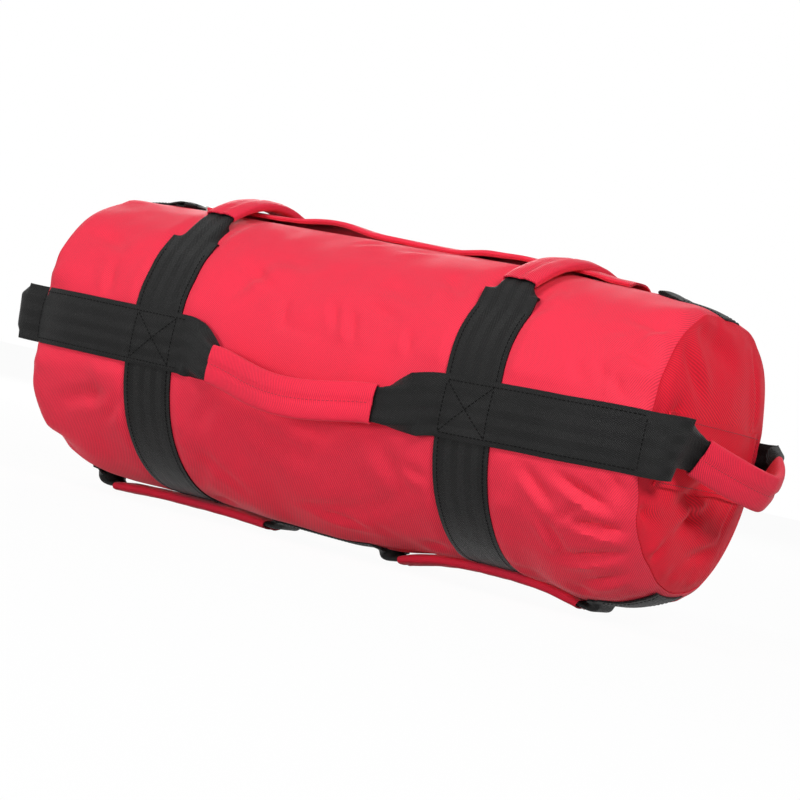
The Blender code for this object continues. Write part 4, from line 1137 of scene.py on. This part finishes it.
# Zip tabs: short pieces of webbing over the ends of the zip. The inner end is folded under
# and stands up in a loose loop, and the outer end is caught in the end seam.
TAB_HALF, TAB_INNER, TAB_OUTER, TAB_HEM = 0.02, 0.2425, 0.2995, 0.011
TAB_EDGE, TAB_FLAT, TAB_STATIONS = TAB_HALF - 0.0035, TAB_HEM + 0.009, 13
tab_reaches = (0, 0.004, 0.008, 0.012, 0.016, 0.0192, 0.02)

for side, sign in SIDES:
    loop = 0.0048 if sign < 0 else 0.0037
    # From the raw end under the hem round the loop to the outer end: how far out, and how high.
    shape = [
        (TAB_HEM, 0.0011), (TAB_HEM * 0.5, 0.0011), (0.0022, 0.0013), (0.0004, loop * 0.45),
        (-0.0001, loop * 0.68), (0.0006, loop * 0.88), (0.0026, loop), (0.006, loop * 0.95),
        (TAB_HEM, loop * 0.72), (TAB_HEM + 0.005, 0.0022),
    ]
    shape += [(ahead, 0.0012) for ahead in spread(TAB_FLAT, TAB_OUTER - TAB_INNER, TAB_STATIONS - 1)]
    stations = []
    for number, (ahead, rise) in enumerate(shape):
        x = TAB_INNER + ahead
        slope = (smooth_radius(x + PROBE, 0) - smooth_radius(x - PROBE, 0)) / (2 * PROBE)
        outward = Z if number in (3, 4, 5) else Vector((-sign * slope, 0, 1)).normalized()
        stations.append((on_bag(sign * x, 0, rise), Y, outward, 0, 1 / CROWN))
    lay_webbing("zip_tab_webbing_" + side, stations, "bag", "zip_tab_" + side, reaches=tab_reaches)
    lines = edge_lines(stations[-TAB_STATIONS:], TAB_EDGE)
    sew("zip_tab_stitching_" + side, lines, GROOVE_SHADED_BLACK_THREAD, "webbing", "bag")

# Filler bags: three inner sacks of nylon cloth, filled with dry sand. The neck of each is
# gathered and closed by a wrapped band of hook and loop.
FILLER_RADIUS, FILLER_LENGTH, FILLER_PITCH, FILLER_SHOULDER = 0.1155, 0.14, 0.169, 0.028
FILLER_START, FILLER_MIDDLE = -0.252, AXIS - 0.0092
FILLER_WALL, FILLER_CELLS = 0.0008, (102, 70)
NECK_RADIUS, NECK_LENGTH, GATHERS = 0.0213, 0.026, 17
CLOSURE_NEAR, CLOSURE_WIDE, CLOSURE_LENGTH = 0.005, 0.016, 0.16
CLOSURE_WALL, CLOSURE_TURNS, CLOSURE_CELLS = 0.0009, 1.12, (6, 72)
FILLER_CLOTH = twill_canvas("grey nylon filler cloth", "5A5C60", pitch=0.0012)
CLOSURE_BLACK = ribbed_tape("black hook and loop tape", "222224", 0.0016)


def filler_ring(along, turn):
    """The sack's radius at a place along it and a turn from its top, with its gathers."""
    front = 1 - ease(along, 0, FILLER_SHOULDER)
    rear = ease(along, FILLER_LENGTH - FILLER_SHOULDER, FILLER_LENGTH)
    if along >= FILLER_LENGTH:
        radius = NECK_RADIUS * (1 + 0.05 * ease(along, FILLER_LENGTH + 0.02, FILLER_LENGTH + NECK_LENGTH))
        return radius * (1 + 0.07 * sin(GATHERS * turn))
    radius = FILLER_RADIUS * sqrt(max(1 - front**2, 0)) if along < FILLER_SHOULDER else FILLER_RADIUS
    if rear > 0:
        radius = NECK_RADIUS + (FILLER_RADIUS - NECK_RADIUS) * sqrt(max(1 - rear**2, 0))
        radius -= 0.0035 * rear * (1 + sin(GATHERS * turn)) * ease(radius, NECK_RADIUS, 0.05)
    slack = ease(cos(turn), 0.2, 0.9) * (1 - rear) * (1 - front)
    return radius - slack * (0.006 + 0.003 * sin(along * 90 + 3 * turn)) - 0.0005


def make_filler(side, start):
    reach = FILLER_LENGTH + NECK_LENGTH

    def place(s, t):
        if t in (0, 1):
            return Vector((start + (0.001 if t == 0 else reach - 0.004), 0, FILLER_MIDDLE))
        along = reach * (t - sin(2 * pi * t) / (2 * pi) * 0.6)
        return around(start + along, filler_ring(along, 2 * pi * s), 2 * pi * s, FILLER_MIDDLE)

    piece = cloth("filler_sack_" + side, FILLER_CELLS, cut_to(2 * pi * FILLER_RADIUS, 0.3), place)
    face_out(piece)
    thicken(piece, FILLER_WALL)
    finish(piece, FILLER_CLOTH, "filler_cloth", "bag", "filler_bag_" + side)

    def wrap(s, t):
        x = start + FILLER_LENGTH + CLOSURE_NEAR + CLOSURE_WIDE * s
        return around(x, NECK_RADIUS * 1.075 + 0.0004 + 0.00108 * t, 2 * pi * CLOSURE_TURNS * t, FILLER_MIDDLE)

    band = cloth("filler_closure_band_" + side, CLOSURE_CELLS, cut_to(CLOSURE_WIDE, CLOSURE_LENGTH), wrap)
    thicken(band, CLOSURE_WALL, 0)
    finish(band, CLOSURE_BLACK, "hook_and_loop", "bag", "filler_closure_" + side)


# Dry sand: kiln-dried silica, buff grains of about half a millimetre, some dark and some
# clear. It lies loose in each sack, level on top but for small heaps.
SAND_TOP, SAND_INSIDE, SAND_CELLS = 0.01, 0.0022, (96, 52)
SAND = bpy.data.materials.new("dry silica sand")
tree = node_tree(SAND)
solid = add(tree, "TexCoord").outputs["Object"]
grains = add(tree, "TexVoronoi", {"Vector": solid, "Scale": 1400}).outputs
tone = add(tree, "ValToRGB", {"Fac": grains["Color"]})
tone.color_ramp.elements[0].color = linear("8E7346")
tone.color_ramp.elements[1].color = linear("E2CB9A")
relief = add(tree, "Bump", {"Strength": 0.7, "Distance": 0.0004, "Height": grains["Distance"]})
coat(SAND, {"Base Color": tone, "Roughness": 0.9, "Normal": relief})


def make_sand(side, start):
    def place(s, t):
        turn, along = 2 * pi * s, 0.002 + (FILLER_LENGTH - 0.004) * t
        radius = 0 if t in (0, 1) else max(filler_ring(along, turn) - SAND_INSIDE, 0.001)
        spot = around(start + along, radius, turn, 0)
        heap = SAND_TOP + 0.0018 * lumps(spot.x * 40, spot.y * 40, 3)
        return Vector((spot.x, spot.y, FILLER_MIDDLE + min(spot.z, heap)))

    piece = cloth("filler_sand_heap_" + side, SAND_CELLS, cut_to(2 * pi * FILLER_RADIUS, FILLER_LENGTH), place)
    face_out(piece)
    bpy.ops.object.shade_smooth_by_angle(angle=CREASE_ANGLE)
    finish(piece, SAND, "sand", "bag", "filler_sand_" + side)


for number, side in enumerate(("left", "middle", "right")):
    make_filler(side, FILLER_START + FILLER_PITCH * number)
    make_sand(side, FILLER_START + FILLER_PITCH * number)
